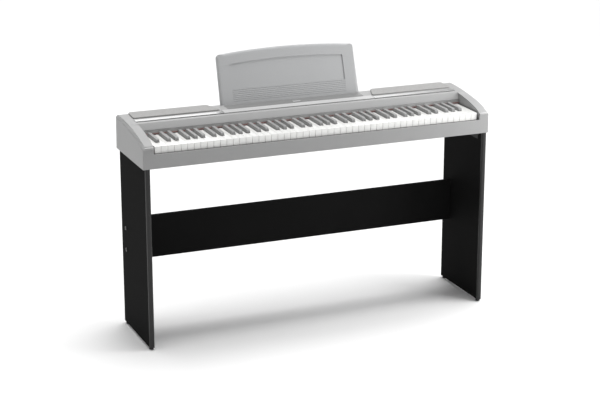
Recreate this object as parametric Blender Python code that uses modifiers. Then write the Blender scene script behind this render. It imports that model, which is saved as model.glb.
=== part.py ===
"""Digital piano with 88 keys and a music rest, screwed onto a stand of three boards.

Metres. x runs from the bass end to the treble end, y from the player to the back, z up from the
floor. Depths are counted from the middle of the piano's case, and everything hangs on one empty
that centres the whole footprint on the origin.
"""

import math

import bmesh
import bpy
from mathutils import Matrix, Vector

GAP = 0.0003  # between two pieces that touch
PAST = 0.02  # how far a cutter reaches past what it cuts

# Keyboard. White keys are counted from 0 at the lowest A, and an octave starts at its C.
KEY_PITCH = 0.0235
WHITE_KEYS = 52
FIRST_C = 2
KEY_SLIT = 0.001
KEY_VISIBLE = 0.143
KEY_THICK = 0.013
KEY_LIP = 0.025
KEY_LIP_THICK = 0.006
TAIL_DROP = 0.006
TAIL_STEP = 0.002, 0.008  # where the tail drops, behind the band's face
BLACK_WIDTH = 0.0135
BLACK_LENGTH = 0.095
BLACK_RISE = 0.012
BLACK_SLACK = 0.0012
BLACK_SLOPE, BLACK_NOSE = 0.007, 0.009
BLACK_NOSE_TOP = 0.0025
BLACK_FOOT = 0.002  # of a black key above the underside of the white ones
KEY_EDGE = 0.001
BLACK_OFFSETS = {0: -0.0025, 1: 0.0025, 3: -0.0035, 4: 0.0, 5: 0.0035}
STRIP_DEPTH = 0.018
STRIP_BEFORE_SLIT = 0.002
BLACK_BEFORE_STRIP, BLACK_RAMP = 0.007, 0.004
WHITE_HINGE_BACK = 0.188  # from the key's front to its hinge line
BLACK_HINGE_AFTER = 0.018  # from the white hinge line to the black one
KEY_TRAVEL = math.radians(2.9)
TAIL_CLEARANCE = 0.0025  # of a black key's tail over the white keys' strip
BLACK_CAP_CLEARANCE = 0.0015  # of a black key's tail over the white keys' top

# Chassis under the keys, folded from one sheet
CHASSIS_THICK = 0.0025
CHASSIS_SIDE_GAP = 0.002
STOP_RAIL_BACK, STOP_RAIL_DEPTH, STOP_RAIL_DROP = 0.016, 0.022, 0.0115
CONTACT_RAIL_BACK, CONTACT_RAIL_DEPTH, CONTACT_RAIL_DROP = 0.090, 0.026, 0.0145
HINGE_BLOCK_DROP = 0.0015
HINGE_RAIL_REACH, STEP_REACH = 0.0108, 0.0072
FELT_THICK = 0.0017
CONTACT_DROP = 0.0055
RUBBER_FOOT, RUBBER_TOP = (0.33, 0.75), (0.40, 0.68)  # shares of the board's depth

# Case
CASE_DEPTH = 0.316
WALL = 0.003
RAIL_THICK = 0.006
RAIL_CLEARANCE = 0.003
KEY_END_GAP = 0.0055
CHEEK_WIDTH = 0.038
CHAMFER_IN = 0.0045
DRAFT = 0.0015
RAIL_HEIGHT = 0.0505
BLOCK_HEIGHT = 0.068
KEY_LEVEL = 0.0755
CHEEK_SWEEP = 0.0385
CHEEK_NOSE = 0.0075
CHEEK_HOLLOW_FROM_FRONT = 0.020
SEAM_DROP = 0.0125
NOSE_LIP = 0.003
NOSE_HEIGHT = 0.0065
NOSE_CORNER, NOSE_BEVEL = 0.002, 0.0015
NOSE_BACK, NOSE_STEP = 0.0105, 0.004  # the cheek rises in a step behind the nose
BACK_ROUND = 0.018
BACK_ROUND_STEPS = 4
BACK_INSET = 0.009
CORNER_ROUND = 0.005
DECK_THICK = 0.004
BAND_OVER_KEYS = 0.018
BAND_HEIGHT = 0.0215
BAND_LEAN = 0.016
BAND_AFTER_KEYS = 0.009
CURVE_STEPS = 12
FELT_ABOVE_KEYS, FELT_HEIGHT, FELT_BEFORE_BAND = 0.003, 0.0018, 0.002
FALLBOARD_BEHIND_BAND, FALLBOARD_THICK = 0.0002, 0.0033

# Things on and in the deck
TRIM_INNER = 0.292
TRIM_AFTER_BAND = 0.038
TRIM_DEPTH = 0.020
TRIM_PROUD = 0.0008
TRIM_SUNK = 0.0012
SHADOW_WIDTH, SHADOW_DEPTH = 0.005, 0.0024  # groove across the deck, before the trims
GROOVE = 0.001
GRILLE_INNER = 0.294
GRILLE_SLANT = 0.027
GRILLE_AFTER_TRIM = 0.012
GRILLE_BEFORE_BACK = 0.010
GRILLE_PROUD = 0.004
GRILLE_SUNK = 0.0018
GRILLE_CORNER = 0.009
GRILLE_END_GAP, GRILLE_END_SLANT = 0.001, 0.003
SPEAKER_RADIUS = 0.035
SPEAKER_FLANGE, SPEAKER_RIM = 0.003, 0.004
SPEAKER_DEPTH = 0.022
CONE_DEPTH, CONE_CENTRE, CONE_RIM = 0.011, 0.009, 0.006
BASKET_DEPTH = 0.013
MAGNET_RADIUS = 0.020
SPEAKER_SIDES = 24
TRAY_HALF = 0.263
TRAY_FRONT_AFTER_BAND = 0.076
TRAY_DEPTH = 0.046
TRAY_SUNK = 0.002
TRAY_CORNER = 0.002
BUTTON_WIDTH, BUTTON_DEPTH, BUTTON_HEIGHT = 0.030, 0.014, 0.009
BUTTON_X = 0.006
BUTTON_AFTER_BAND = 0.0953
BUTTON_EDGE = 0.0008
BUTTON_PROUD = 0.002
BUTTON_SLACK = 0.0006
BUTTON_TRAVEL = 0.0012
BOARD_THICK = 0.0016
BOARD_HALF = 0.120
BOARD_DEPTH = 0.044
BOARD_BELOW_DECK = 0.020
BOARD_BEFORE_BUTTON = 0.003
CHIPS = (  # x, half width, half depth and height of each raised part
    (-0.06, 0.012, 0.012, 0.002),
    (0.06, 0.016, 0.008, 0.003),
)
SWITCH_HALF, SWITCH_HEIGHT = 0.006, 0.005
POST_RADIUS, POST_SIDES, POST_FROM_END = 0.003, 12, 0.010

# Music rest
REST_LEAN = math.radians(18.3)
REST_BOTTOM_HALF = 0.271
REST_TOP_HALF = 0.266
REST_THICK = 0.013
REST_IN_SLOT = 0.016
REST_CORNER_HEIGHT = 0.1805  # out of the deck, along the rest
REST_ARCH = 0.014
REST_ROUND = 0.012
REST_BEFORE_BACK = 0.0235
REST_SLACK = 0.0006
REST_LIFT = 0.015
SLOT_WALL = 0.004
FIELD_SIDE = 0.045
FIELD_TOP = 0.036
FIELD_BOTTOM = 0.053
FIELD_SUNK = 0.003
FIELD_CORNER = 0.004
RIB_PITCH = 0.0066
RIB_COUNT = 7
RIB_WIDTH = 0.0022
RIB_SUNK = 0.0012

# Stand
STAND_INSET = 0.0076  # of each side board behind the end of the case
PANEL_THICK = 0.018
PANEL_DEPTH = 0.300
PANEL_HEIGHT = 0.643
PANEL_FRONT_PROUD = 0.0005
PANEL_ROUND = 0.007
GLIDE_RADIUS, GLIDE_HEIGHT = 0.008, 0.008
GLIDE_PIN_RADIUS, GLIDE_PIN_LENGTH = 0.002, 0.012
GLIDE_FROM_EDGE = 0.014
GLIDE_EDGE = 0.0015
CROSS_THICK = 0.018
CROSS_HEIGHT = 0.155
CROSS_BOTTOM = 0.256
CROSS_BACK_FROM_PANEL_BACK = 0.043
CROSS_ROUND = 0.001
BOLT_RADIUS, BOLT_HEAD_RADIUS, BOLT_HEAD = 0.0034, 0.0075, 0.0025
BOLT_HEAD_EDGE = 0.0008
BOLT_LENGTH = 0.060
BOLT_FROM_EDGE = 0.0375
BORE_SLACK = 0.0004
NUT_RADIUS, NUT_LENGTH = 0.005, 0.014
NUT_FROM_END = 0.030
BRACKET_LENGTH, BRACKET_LEG, BRACKET_THICK = 0.240, 0.028, 0.002
SCREW_RADIUS, SCREW_HEAD_RADIUS, SCREW_HEAD, SCREW_LENGTH = 0.003, 0.010, 0.008, 0.014
SCREW_SPREAD = 0.170
SCREW_FROM_PANEL = 0.013
SCREW_EDGE = 0.001
BOSS_RADIUS, BOSS_HEIGHT = 0.007, 0.018

# Sockets in the rear wall
SOCKET_BORE, SOCKET_BODY, SOCKET_FLANGE = 0.0032, 0.006, 0.009
SOCKET_FLANGE_THICK, SOCKET_LENGTH, SOCKET_BORE_DEPTH = 0.0015, 0.020, 0.015
SOCKET_X = {"pedal_socket": -0.50, "phones_socket": -0.45, "power_inlet": -0.40}
SOCKET_LEVEL = 0.040

# Worked out from the sizes above
KEYS_HALF = KEY_PITCH * WHITE_KEYS / 2
CHEEK_IN = KEYS_HALF + KEY_END_GAP
CHEEK_OUT = CHEEK_IN + CHEEK_WIDTH
CASE_FRONT, CASE_BACK = -CASE_DEPTH / 2, CASE_DEPTH / 2
CASE_BOTTOM = GLIDE_HEIGHT + PANEL_HEIGHT + 2 * GAP
KEY_FRONT = CASE_FRONT + RAIL_THICK + RAIL_CLEARANCE
KEY_BACK = KEY_FRONT + KEY_VISIBLE
KEY_TOP = CASE_BOTTOM + KEY_LEVEL
BAND_BOTTOM = KEY_TOP + BAND_OVER_KEYS
BAND_Y = KEY_BACK + BAND_AFTER_KEYS
CORNER_Y = BAND_Y + BAND_LEAN
RAIL_TOP = CASE_BOTTOM + RAIL_HEIGHT
BLOCK_TOP = CASE_BOTTOM + BLOCK_HEIGHT
SWEEP_LENGTH = CASE_DEPTH - BACK_INSET
CORNER_T = (CASE_BACK - BACK_INSET - CORNER_Y) / SWEEP_LENGTH
CASE_TOP = BAND_BOTTOM + BAND_HEIGHT + CHEEK_SWEEP * CORNER_T**2
WHITE_HINGE_Y = KEY_FRONT + WHITE_HINGE_BACK
BLACK_HINGE_Y = WHITE_HINGE_Y + BLACK_HINGE_AFTER
STRIP_TOP = KEY_TOP - TAIL_DROP
STRIP_BOTTOM = KEY_TOP - KEY_THICK
BLACK_TAIL_TOP = KEY_TOP + BLACK_CAP_CLEARANCE
BLACK_TAIL_BOTTOM = STRIP_TOP + TAIL_CLEARANCE
WHITE_HINGE_Z = (STRIP_TOP + STRIP_BOTTOM) / 2
BLACK_HINGE_Z = (BLACK_TAIL_TOP + BLACK_TAIL_BOTTOM) / 2
STAND_HALF = CHEEK_OUT + DRAFT - STAND_INSET
PANEL_FRONT = CASE_FRONT - PANEL_FRONT_PROUD
PANEL_TOP = GLIDE_HEIGHT + GAP + PANEL_HEIGHT
CROSS_HALF = STAND_HALF - PANEL_THICK - GAP
CROSS_Y = PANEL_FRONT + PANEL_DEPTH - CROSS_BACK_FROM_PANEL_BACK - CROSS_THICK / 2
REST_Y = CASE_BACK - REST_BEFORE_BACK
REST_HEIGHT = REST_IN_SLOT + REST_CORNER_HEIGHT


def top_z(y):
    """Height of the case's curved top at a depth: flat at the back, diving at the nose."""
    t = (CASE_BACK - BACK_INSET - y) / SWEEP_LENGTH
    t = max(t, 0.0)
    return CASE_TOP - CHEEK_SWEEP * t**2 - CHEEK_NOSE * t**12


def top_slope(y):
    return math.atan((top_z(y + 0.001) - top_z(y - 0.001)) / 0.002)


def seam_z(y):
    """Height of the seam between lower and upper case along the side."""
    return max(top_z(y) - SEAM_DROP, BLOCK_TOP)


def steps_between(first, last, count):
    return [first + (last - first) * i / count for i in range(count + 1)]


def seam_line():
    """Points along the seam, from front to back, that both halves of the case follow."""
    rise_y = CASE_FRONT + 2 * RAIL_THICK
    rising = [(y, seam_z(y)) for y in steps_between(rise_y, CASE_BACK, CURVE_STEPS)[1:]]
    return [(CASE_FRONT, BLOCK_TOP), (rise_y, BLOCK_TOP), *rising]


REST_Z = top_z(REST_Y) - REST_IN_SLOT * math.cos(REST_LEAN)
REST_FRONT = REST_Y - REST_IN_SLOT * math.sin(REST_LEAN)
REST_BACK = REST_FRONT + (REST_HEIGHT + REST_ARCH) * math.sin(REST_LEAN)
REST_BACK += REST_THICK * math.cos(REST_LEAN)
FOOTPRINT_FRONT = CASE_FRONT - NOSE_LIP
FOOTPRINT_MIDDLE = (FOOTPRINT_FRONT + REST_BACK) / 2


# Scene, materials and the few ways in which pieces are made


def clear_scene():
    for obj in list(bpy.data.objects):
        bpy.data.objects.remove(obj)


def new_collection(name):
    collection = bpy.data.collections.new(name)
    bpy.context.scene.collection.children.link(collection)
    return collection


def material(name, colour, roughness, metallic=0.0):
    made = bpy.data.materials.new(name)
    made.use_nodes = True
    shader = made.node_tree.nodes["Principled BSDF"]
    shader.inputs["Base Color"].default_value = (*colour, 1.0)
    shader.inputs["Roughness"].default_value = roughness
    shader.inputs["Metallic"].default_value = metallic
    return made


def empty(name, location, parent=None, lean=0.0, travel=0.0):
    """An axis or a centre. One that a piece moves about also says how far it travels."""
    made = bpy.data.objects.new(name, None)
    made.empty_display_size = 0.02
    parts.objects.link(made)
    made.parent = parent
    made.location = Vector(location)
    made.rotation_euler.x = lean
    if travel:
        made["travel"] = travel
    return made


def solid(name, mesh, finish, location=(0, 0, 0), parent=None, lean=0.0):
    """One named sub-part, placed under the whole piano or under its own joint's empty."""
    made = bpy.data.objects.new(name, mesh)
    mesh.materials.append(finish)
    parts.objects.link(made)
    made.parent = parent or whole
    offset = Vector((0, 0, 0)) if parent is None else parent.location
    made.location = Vector(location) - offset
    made.rotation_euler.x = lean
    return made


def helper(mesh, location=(0, 0, 0), lean=0.0, parent=None):
    """A shape that only cuts or joins another, and that no render shows."""
    made = bpy.data.objects.new(mesh.name, mesh)
    cutters.objects.link(made)
    made.parent = parent or whole
    made.location = Vector(location)
    made.rotation_euler.x = lean
    made.hide_render = True
    made.display_type = "WIRE"
    return made


def combine(target, other, operation):
    modifier = target.modifiers.new(f"{operation.lower()}_{other.name}", "BOOLEAN")
    modifier.operation = operation
    modifier.object = other


def cut(target, other):
    combine(target, other, "DIFFERENCE")


def join(target, other):
    combine(target, other, "UNION")


def as_mesh(name, shape):
    mesh = bpy.data.meshes.new(name)
    shape.to_mesh(mesh)
    shape.free()
    return mesh


def box_mesh(name, size, edge_round=0.0):
    shape = bmesh.new()
    bmesh.ops.create_cube(shape, size=1.0)
    bmesh.ops.scale(shape, vec=Vector(size), verts=shape.verts)
    if edge_round:
        bevel(shape, shape.edges, edge_round, 2)
    return as_mesh(name, shape)


def bevel(shape, edges, width, segments):
    bmesh.ops.bevel(
        shape,
        geom=list(edges),
        offset=width,
        offset_type="OFFSET",
        affect="EDGES",
        segments=segments,
        profile=0.5,
        material=-1,
        clamp_overlap=True,
    )


def middle_and_size(low, high):
    low, high = Vector(low), Vector(high)
    return (low + high) / 2, high - low


def box(name, low, high, finish, edge_round=0.0, parent=None):
    middle, size = middle_and_size(low, high)
    return solid(name, box_mesh(name, size, edge_round), finish, middle, parent)


def helper_box(name, low, high, parent=None):
    middle, size = middle_and_size(low, high)
    return helper(box_mesh(name, size), middle, parent=parent)


def flat_mesh(name, outlines, thickness):
    """Flat outlines in the x-y plane, filled and given a thickness centred on z = 0."""
    curve = bpy.data.curves.new(name, "CURVE")
    curve.dimensions = "2D"
    curve.fill_mode = "BOTH"
    curve.extrude = thickness / 2
    for outline in outlines:
        spline = curve.splines.new("POLY")
        spline.points.add(len(outline) - 1)
        for point, (x, y) in zip(spline.points, outline):
            point.co = (x, y, 0, 1)
        spline.use_cyclic_u = True
    drawn = bpy.data.objects.new(name, curve)
    bpy.context.scene.collection.objects.link(drawn)
    graph = bpy.context.evaluated_depsgraph_get()
    filled = bpy.data.meshes.new_from_object(drawn.evaluated_get(graph))
    bpy.data.objects.remove(drawn)
    shape = bmesh.new()
    shape.from_mesh(filled)
    bmesh.ops.remove_doubles(shape, verts=shape.verts, dist=1e-6)
    bmesh.ops.recalc_face_normals(shape, faces=shape.faces)
    bpy.data.meshes.remove(filled)
    bpy.data.curves.remove(curve)
    return as_mesh(name, shape)


# Turns an outline drawn in x-y so that it lies in y-z and its thickness runs along x,
# or so that it stands in x-z and its thickness runs along y.
ACROSS = Matrix(((0, 0, 1, 0), (1, 0, 0, 0), (0, 1, 0, 0), (0, 0, 0, 1)))
UPRIGHT = Matrix.Rotation(math.pi / 2, 4, "X")


def section_mesh(name, section, width):
    """A section in (y, z), drawn out along x."""
    mesh = flat_mesh(name, [section], width)
    mesh.transform(ACROSS)
    return mesh


def section_bar(name, section, x_low, x_high, finish, parent=None):
    mesh = section_mesh(name, section, x_high - x_low)
    return solid(name, mesh, finish, ((x_low + x_high) / 2, 0, 0), parent)


def helper_section(name, section, x_low, x_high):
    mesh = section_mesh(name, section, x_high - x_low)
    return helper(mesh, ((x_low + x_high) / 2, 0, 0))


def round_mesh(name, radius, length, axis="Z", sides=16):
    shape = bmesh.new()
    bmesh.ops.create_cone(
        shape, cap_ends=True, segments=sides, radius1=radius, radius2=radius, depth=length
    )
    if axis != "Z":
        turn = Matrix.Rotation(math.pi / 2, 4, "Y" if axis == "X" else "X")
        bmesh.ops.transform(shape, matrix=turn, verts=shape.verts)
    return as_mesh(name, shape)


def turned(name, profile, finish, location, rotation=(0, 0, 0), steps=16):
    """A turned piece: its (radius, height) profile starts and ends on the axis."""
    shape = bmesh.new()
    points = [shape.verts.new((radius, 0, height)) for radius, height in profile]
    for first, second in zip(points, points[1:]):
        shape.edges.new((first, second))
    made = solid(name, as_mesh(name, shape), finish, location)
    made.rotation_euler = rotation
    screw = made.modifiers.new("turn", "SCREW")
    screw.axis = "Z"
    screw.steps = screw.render_steps = steps
    screw.use_merge_vertices = True
    screw.merge_threshold = 0.00001
    screw.use_smooth_shade = True
    return made


def mirrored_x(outline, side):
    return [(side * x, y) for x, y in outline]


# Stand


def stand_side(name, side):
    low_x, high_x = sorted((side * (STAND_HALF - PANEL_THICK), side * STAND_HALF))
    low = (low_x, PANEL_FRONT, GLIDE_HEIGHT + GAP)
    high = (high_x, PANEL_FRONT + PANEL_DEPTH, PANEL_TOP)
    middle, size = middle_and_size(low, high)
    shape = bmesh.new()
    bmesh.ops.create_cube(shape, size=1.0)
    bmesh.ops.scale(shape, vec=size, verts=shape.verts)
    front_edges = [
        edge
        for edge in shape.edges
        if all(vert.co.y < 0 for vert in edge.verts)
        and abs(edge.verts[0].co.z - edge.verts[1].co.z) > PANEL_HEIGHT / 2
    ]
    bevel(shape, front_edges, PANEL_ROUND, 4)
    board = solid(name, as_mesh(name, shape), laminate, middle)
    for height in bolt_heights():
        bore = round_mesh(f"{name}_bolt_bore", BOLT_RADIUS + BORE_SLACK, 3 * PANEL_THICK, "X")
        cut(board, helper(bore, (side * STAND_HALF, CROSS_Y, height)))
    for y in glide_depths():
        bore_length = 2 * (GLIDE_PIN_LENGTH + BORE_SLACK)
        bore = round_mesh(f"{name}_glide_bore", GLIDE_PIN_RADIUS + BORE_SLACK, bore_length)
        cut(board, helper(bore, (side * glide_x(), y, GLIDE_HEIGHT + GAP)))
    return board


def glide_x():
    return STAND_HALF - PANEL_THICK / 2


def glide_depths():
    front = PANEL_FRONT + GLIDE_FROM_EDGE
    return front, PANEL_FRONT + PANEL_DEPTH - GLIDE_FROM_EDGE


def bolt_heights():
    return CROSS_BOTTOM + BOLT_FROM_EDGE, CROSS_BOTTOM + CROSS_HEIGHT - BOLT_FROM_EDGE


def cross_board():
    low = (-CROSS_HALF, CROSS_Y - CROSS_THICK / 2, CROSS_BOTTOM)
    high = (CROSS_HALF, CROSS_Y + CROSS_THICK / 2, CROSS_BOTTOM + CROSS_HEIGHT)
    board = box("cross_board", low, high, laminate, CROSS_ROUND)
    reach = 2 * (BOLT_LENGTH - PANEL_THICK)
    for side in (-1, 1):
        for height in bolt_heights():
            bore = round_mesh("cross_bolt_bore", BOLT_RADIUS + BORE_SLACK, reach, "X")
            cut(board, helper(bore, (side * CROSS_HALF, CROSS_Y, height)))
            nut_x = side * (CROSS_HALF - NUT_FROM_END)
            bore = round_mesh("nut_bore", NUT_RADIUS + BORE_SLACK, 2 * NUT_LENGTH, "Y")
            cut(board, helper(bore, (nut_x, CROSS_Y + CROSS_THICK / 2, height)))
    return board


def connector_bolt(name, side, height):
    """Flat-headed bolt through the side board, pointing along the cross board."""
    bottom = -(BOLT_LENGTH - BOLT_HEAD)
    profile = [
        (0, BOLT_HEAD),
        (BOLT_HEAD_RADIUS - BOLT_HEAD_EDGE, BOLT_HEAD),
        (BOLT_HEAD_RADIUS, BOLT_HEAD - BOLT_HEAD_EDGE),
        (BOLT_HEAD_RADIUS, 0),
        (BOLT_RADIUS, 0),
        (BOLT_RADIUS, bottom),
        (0, bottom),
    ]
    location = (side * (STAND_HALF + GAP), CROSS_Y, height)
    return turned(name, profile, steel, location, (0, side * math.pi / 2, 0))


def barrel_nut(name, side, height):
    """Round nut set into the back of the cross board, with its thread across it."""
    nut_x = side * (CROSS_HALF - NUT_FROM_END)
    y = CROSS_Y + CROSS_THICK / 2 - NUT_LENGTH / 2
    mesh = round_mesh(name, NUT_RADIUS, NUT_LENGTH, "Y")
    nut = solid(name, mesh, steel, (nut_x, y, height))
    thread = round_mesh(f"{name}_thread", BOLT_RADIUS + BORE_SLACK, 4 * NUT_RADIUS, "X")
    cut(nut, helper(thread, (nut_x, CROSS_Y, height)))
    return nut


def glide(name, side, y):
    profile = [
        (0, GLIDE_HEIGHT + GLIDE_PIN_LENGTH),
        (GLIDE_PIN_RADIUS, GLIDE_HEIGHT + GLIDE_PIN_LENGTH - GLIDE_EDGE),
        (GLIDE_PIN_RADIUS, GLIDE_HEIGHT),
        (GLIDE_RADIUS, GLIDE_HEIGHT),
        (GLIDE_RADIUS, GLIDE_EDGE),
        (GLIDE_RADIUS - GLIDE_EDGE, 0),
        (0, 0),
    ]
    return turned(name, profile, black_plastic, (side * glide_x(), y, 0))


def bracket(name, side):
    """Steel angle in the corner between a side board and the underside of the case."""
    wall_x = STAND_HALF - PANEL_THICK - GAP
    outline = [
        (wall_x, PANEL_TOP),
        (wall_x, PANEL_TOP - BRACKET_LEG),
        (wall_x - BRACKET_THICK, PANEL_TOP - BRACKET_LEG),
        (wall_x - BRACKET_THICK, PANEL_TOP - BRACKET_THICK),
        (wall_x - BRACKET_LEG, PANEL_TOP - BRACKET_THICK),
        (wall_x - BRACKET_LEG, PANEL_TOP),
    ]
    mesh = flat_mesh(name, [mirrored_x(outline, side)], BRACKET_LENGTH)
    mesh.transform(UPRIGHT)
    angle = solid(name, mesh, steel, (0, stand_middle_y(), 0))
    for y in screw_depths():
        bore = round_mesh(f"{name}_bore", SCREW_RADIUS + BORE_SLACK, 4 * BRACKET_THICK)
        cut(angle, helper(bore, (side * screw_x(), y, PANEL_TOP)))
    return angle


def stand_middle_y():
    return PANEL_FRONT + PANEL_DEPTH / 2


def screw_x():
    return STAND_HALF - PANEL_THICK - SCREW_FROM_PANEL


def screw_depths():
    middle = stand_middle_y()
    return middle - SCREW_SPREAD / 2, middle + SCREW_SPREAD / 2


def thumb_screw(name, side, y):
    """Screw with a wide head for the fingers, up through the bracket into the case."""
    top = SCREW_HEAD + BRACKET_THICK + SCREW_LENGTH
    profile = [
        (0, top),
        (SCREW_RADIUS, top - SCREW_EDGE),
        (SCREW_RADIUS, SCREW_HEAD),
        (SCREW_HEAD_RADIUS, SCREW_HEAD),
        (SCREW_HEAD_RADIUS, SCREW_EDGE),
        (SCREW_HEAD_RADIUS - SCREW_EDGE, 0),
        (0, 0),
    ]
    height = PANEL_TOP - BRACKET_THICK - SCREW_HEAD - GAP
    return turned(name, profile, black_plastic, (side * screw_x(), y, height))


# Case


def lower_case():
    """Moulded tray: floor, side walls up to the seam, rear wall and low front rail."""
    section = [(CASE_FRONT, CASE_BOTTOM), (CASE_BACK, CASE_BOTTOM), *reversed(seam_line())]
    mesh = section_mesh("lower_case", section, 2 * CHEEK_OUT)
    shape = bmesh.new()
    shape.from_mesh(mesh)
    for vert in shape.verts:
        if vert.co.z < CASE_BOTTOM + GAP:
            vert.co.x += math.copysign(DRAFT, vert.co.x)
    bmesh.ops.dissolve_limit(
        shape, angle_limit=0.0005, verts=shape.verts, edges=shape.edges
    )
    corners = [
        edge
        for edge in shape.edges
        if abs(edge.verts[0].co.y - edge.verts[1].co.y) < GAP
        and abs(edge.verts[0].co.z - edge.verts[1].co.z) > BLOCK_HEIGHT / 2
    ]
    bevel(shape, corners, CORNER_ROUND, 3)
    bmesh.ops.triangulate(shape, faces=shape.faces)
    shape.to_mesh(mesh)
    shape.free()
    case = solid("lower_case", mesh, case_plastic)
    inside_half = CHEEK_OUT - WALL
    high = CASE_TOP + WALL
    hollow_low = (-inside_half, CASE_FRONT + RAIL_THICK, CASE_BOTTOM + WALL)
    cut(case, helper_box("case_hollow", hollow_low, (inside_half, CASE_BACK - WALL, high)))
    rail_low = (-CHEEK_IN, CASE_FRONT - RAIL_THICK, RAIL_TOP)
    cut(case, helper_box("rail_cut", rail_low, (CHEEK_IN, CASE_FRONT + 2 * RAIL_THICK, high)))
    for side in (-1, 1):
        add_end_block(case, side)
        for y in screw_depths():
            add_screw_boss(case, side, y)
    for x in SOCKET_X.values():
        bore = round_mesh("socket_bore", SOCKET_BODY + BORE_SLACK, 4 * WALL, "Y")
        cut(case, helper(bore, (x, CASE_BACK - WALL / 2, CASE_BOTTOM + SOCKET_LEVEL)))
    return case


def add_end_block(case, side):
    """Hollow block beside the end key, which the cheek of the upper case stands on."""
    xs = sorted((side * CHEEK_IN, side * (CHEEK_OUT - WALL / 2)))
    low = (xs[0], CASE_FRONT + RAIL_THICK / 2, CASE_BOTTOM + WALL / 2)
    join(case, helper_box("end_block", low, (xs[1], BAND_Y, BLOCK_TOP)))
    xs = sorted((side * (CHEEK_IN + WALL), side * (CHEEK_OUT - WALL)))
    low = (xs[0], CASE_FRONT + RAIL_THICK, CASE_BOTTOM + WALL)
    cut(case, helper_box("end_hollow", low, (xs[1], BAND_Y + WALL, BLOCK_TOP - WALL)))


def add_screw_boss(case, side, y):
    place = (side * screw_x(), y, CASE_BOTTOM + WALL / 2 + BOSS_HEIGHT / 2)
    join(case, helper(round_mesh("screw_boss", BOSS_RADIUS, BOSS_HEIGHT), place))
    bore = round_mesh("screw_bore", SCREW_RADIUS + BORE_SLACK, 2 * (SCREW_LENGTH + WALL))
    cut(case, helper(bore, (side * screw_x(), y, CASE_BOTTOM)))


def cheek_top_section():
    """Points over the cheek's top, from its round nose to its round back."""
    front = CASE_FRONT - NOSE_LIP
    nose_z = BLOCK_TOP + GAP + NOSE_HEIGHT
    section = [
        (front + NOSE_BEVEL, BLOCK_TOP + GAP),
        (front, BLOCK_TOP + GAP + NOSE_CORNER),
        (front, nose_z - NOSE_CORNER),
        (front + NOSE_BEVEL, nose_z),
        (CASE_FRONT + NOSE_BACK - NOSE_STEP, nose_z),
    ]
    last_y = CASE_BACK - BACK_ROUND
    ys = steps_between(CASE_FRONT + NOSE_BACK, last_y, CURVE_STEPS)
    section += [(y, top_z(y)) for y in ys]
    section += rear_arc(BACK_ROUND)
    return section


def rear_arc(radius):
    """Points round the back of the deck, for its outer face or for one inside it."""
    last_y = CASE_BACK - BACK_ROUND
    centre_z = top_z(last_y) - BACK_ROUND
    turns = steps_between(0, math.pi / 2, BACK_ROUND_STEPS)[1:]
    return [(last_y + radius * math.sin(a), centre_z + radius * math.cos(a)) for a in turns]


def under_deck(thick, first_y):
    """Points from first_y to the back, a thickness below the deck's outer face."""
    ys = steps_between(first_y, CASE_BACK - BACK_ROUND, CURVE_STEPS // 2)
    return [(y, top_z(y) - thick) for y in ys] + rear_arc(BACK_ROUND - thick)


def keyboard_room():
    """Section of what is empty between the cheeks: the key opening and below the deck."""
    front, low, high = CASE_FRONT - PAST, CASE_BOTTOM, CASE_TOP + PAST
    lean = BAND_LEAN / (top_z(CORNER_Y) - BAND_BOTTOM)
    inside = under_deck(DECK_THICK, CORNER_Y + 2 * DECK_THICK)
    return [
        (front, high),
        (front, low),
        (inside[-1][0], low),
        *reversed(inside),
        (CORNER_Y + DECK_THICK, top_z(CORNER_Y) - 1.5 * DECK_THICK),
        (BAND_Y + DECK_THICK, BAND_BOTTOM),
        (BAND_Y, BAND_BOTTOM),
        (BAND_Y + lean * (high - BAND_BOTTOM), high),
    ]


def shape_cheek(case, side):
    """Makes room for the side wall, leans in the outer edge and hollows out one cheek."""
    xs = sorted((side * (CHEEK_OUT - WALL - GAP), side * (CHEEK_OUT + PAST)))
    level = [point for point in seam_line() if point[1] == BLOCK_TOP]
    relief = [(y, z + GAP) for y, z in seam_line()[len(level) - 1 :]]
    relief = [(relief[0][0], CASE_BOTTOM), *relief, (CASE_BACK + PAST, relief[-1][1])]
    relief.append((relief[-1][0], CASE_BOTTOM))
    cut(case, helper_section("side_relief", relief, *xs))
    cut(case, edge_chamfer(side, steps_between(CASE_FRONT - PAST, CASE_BACK + PAST, CURVE_STEPS)))
    first_y, last_y = CASE_FRONT + CHEEK_HOLLOW_FROM_FRONT, CASE_BACK - 2 * WALL - GAP
    ys = steps_between(first_y, last_y, CURVE_STEPS // 2)
    hollow = [(y, top_z(y) - DECK_THICK) for y in ys]
    hollow = [(hollow[0][0], CASE_BOTTOM), *hollow, (hollow[-1][0], CASE_BOTTOM)]
    xs = sorted((side * (CHEEK_IN + WALL), side * (CHEEK_OUT - 3 * WALL)))
    cut(case, helper_section("cheek_hollow", hollow, *xs))


def edge_chamfer(side, ys):
    """Bar outside the cheek whose inner face leans in, from the seam over the top."""
    low = [(y, top_z(y) - SEAM_DROP + 2 * GAP) for y in ys]
    high = [(y, top_z(y) + SEAM_DROP) for y in reversed(ys)]
    mesh = section_mesh("edge_chamfer", low + high, PAST)
    for vert in mesh.vertices:
        if side * vert.co.x < 0:
            above = vert.co.z > top_z(vert.co.y)
            vert.co.x += side * (-2 * CHAMFER_IN if above else 0)
    return helper(mesh, (side * (CHEEK_OUT + PAST / 2), 0, 0))


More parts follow.
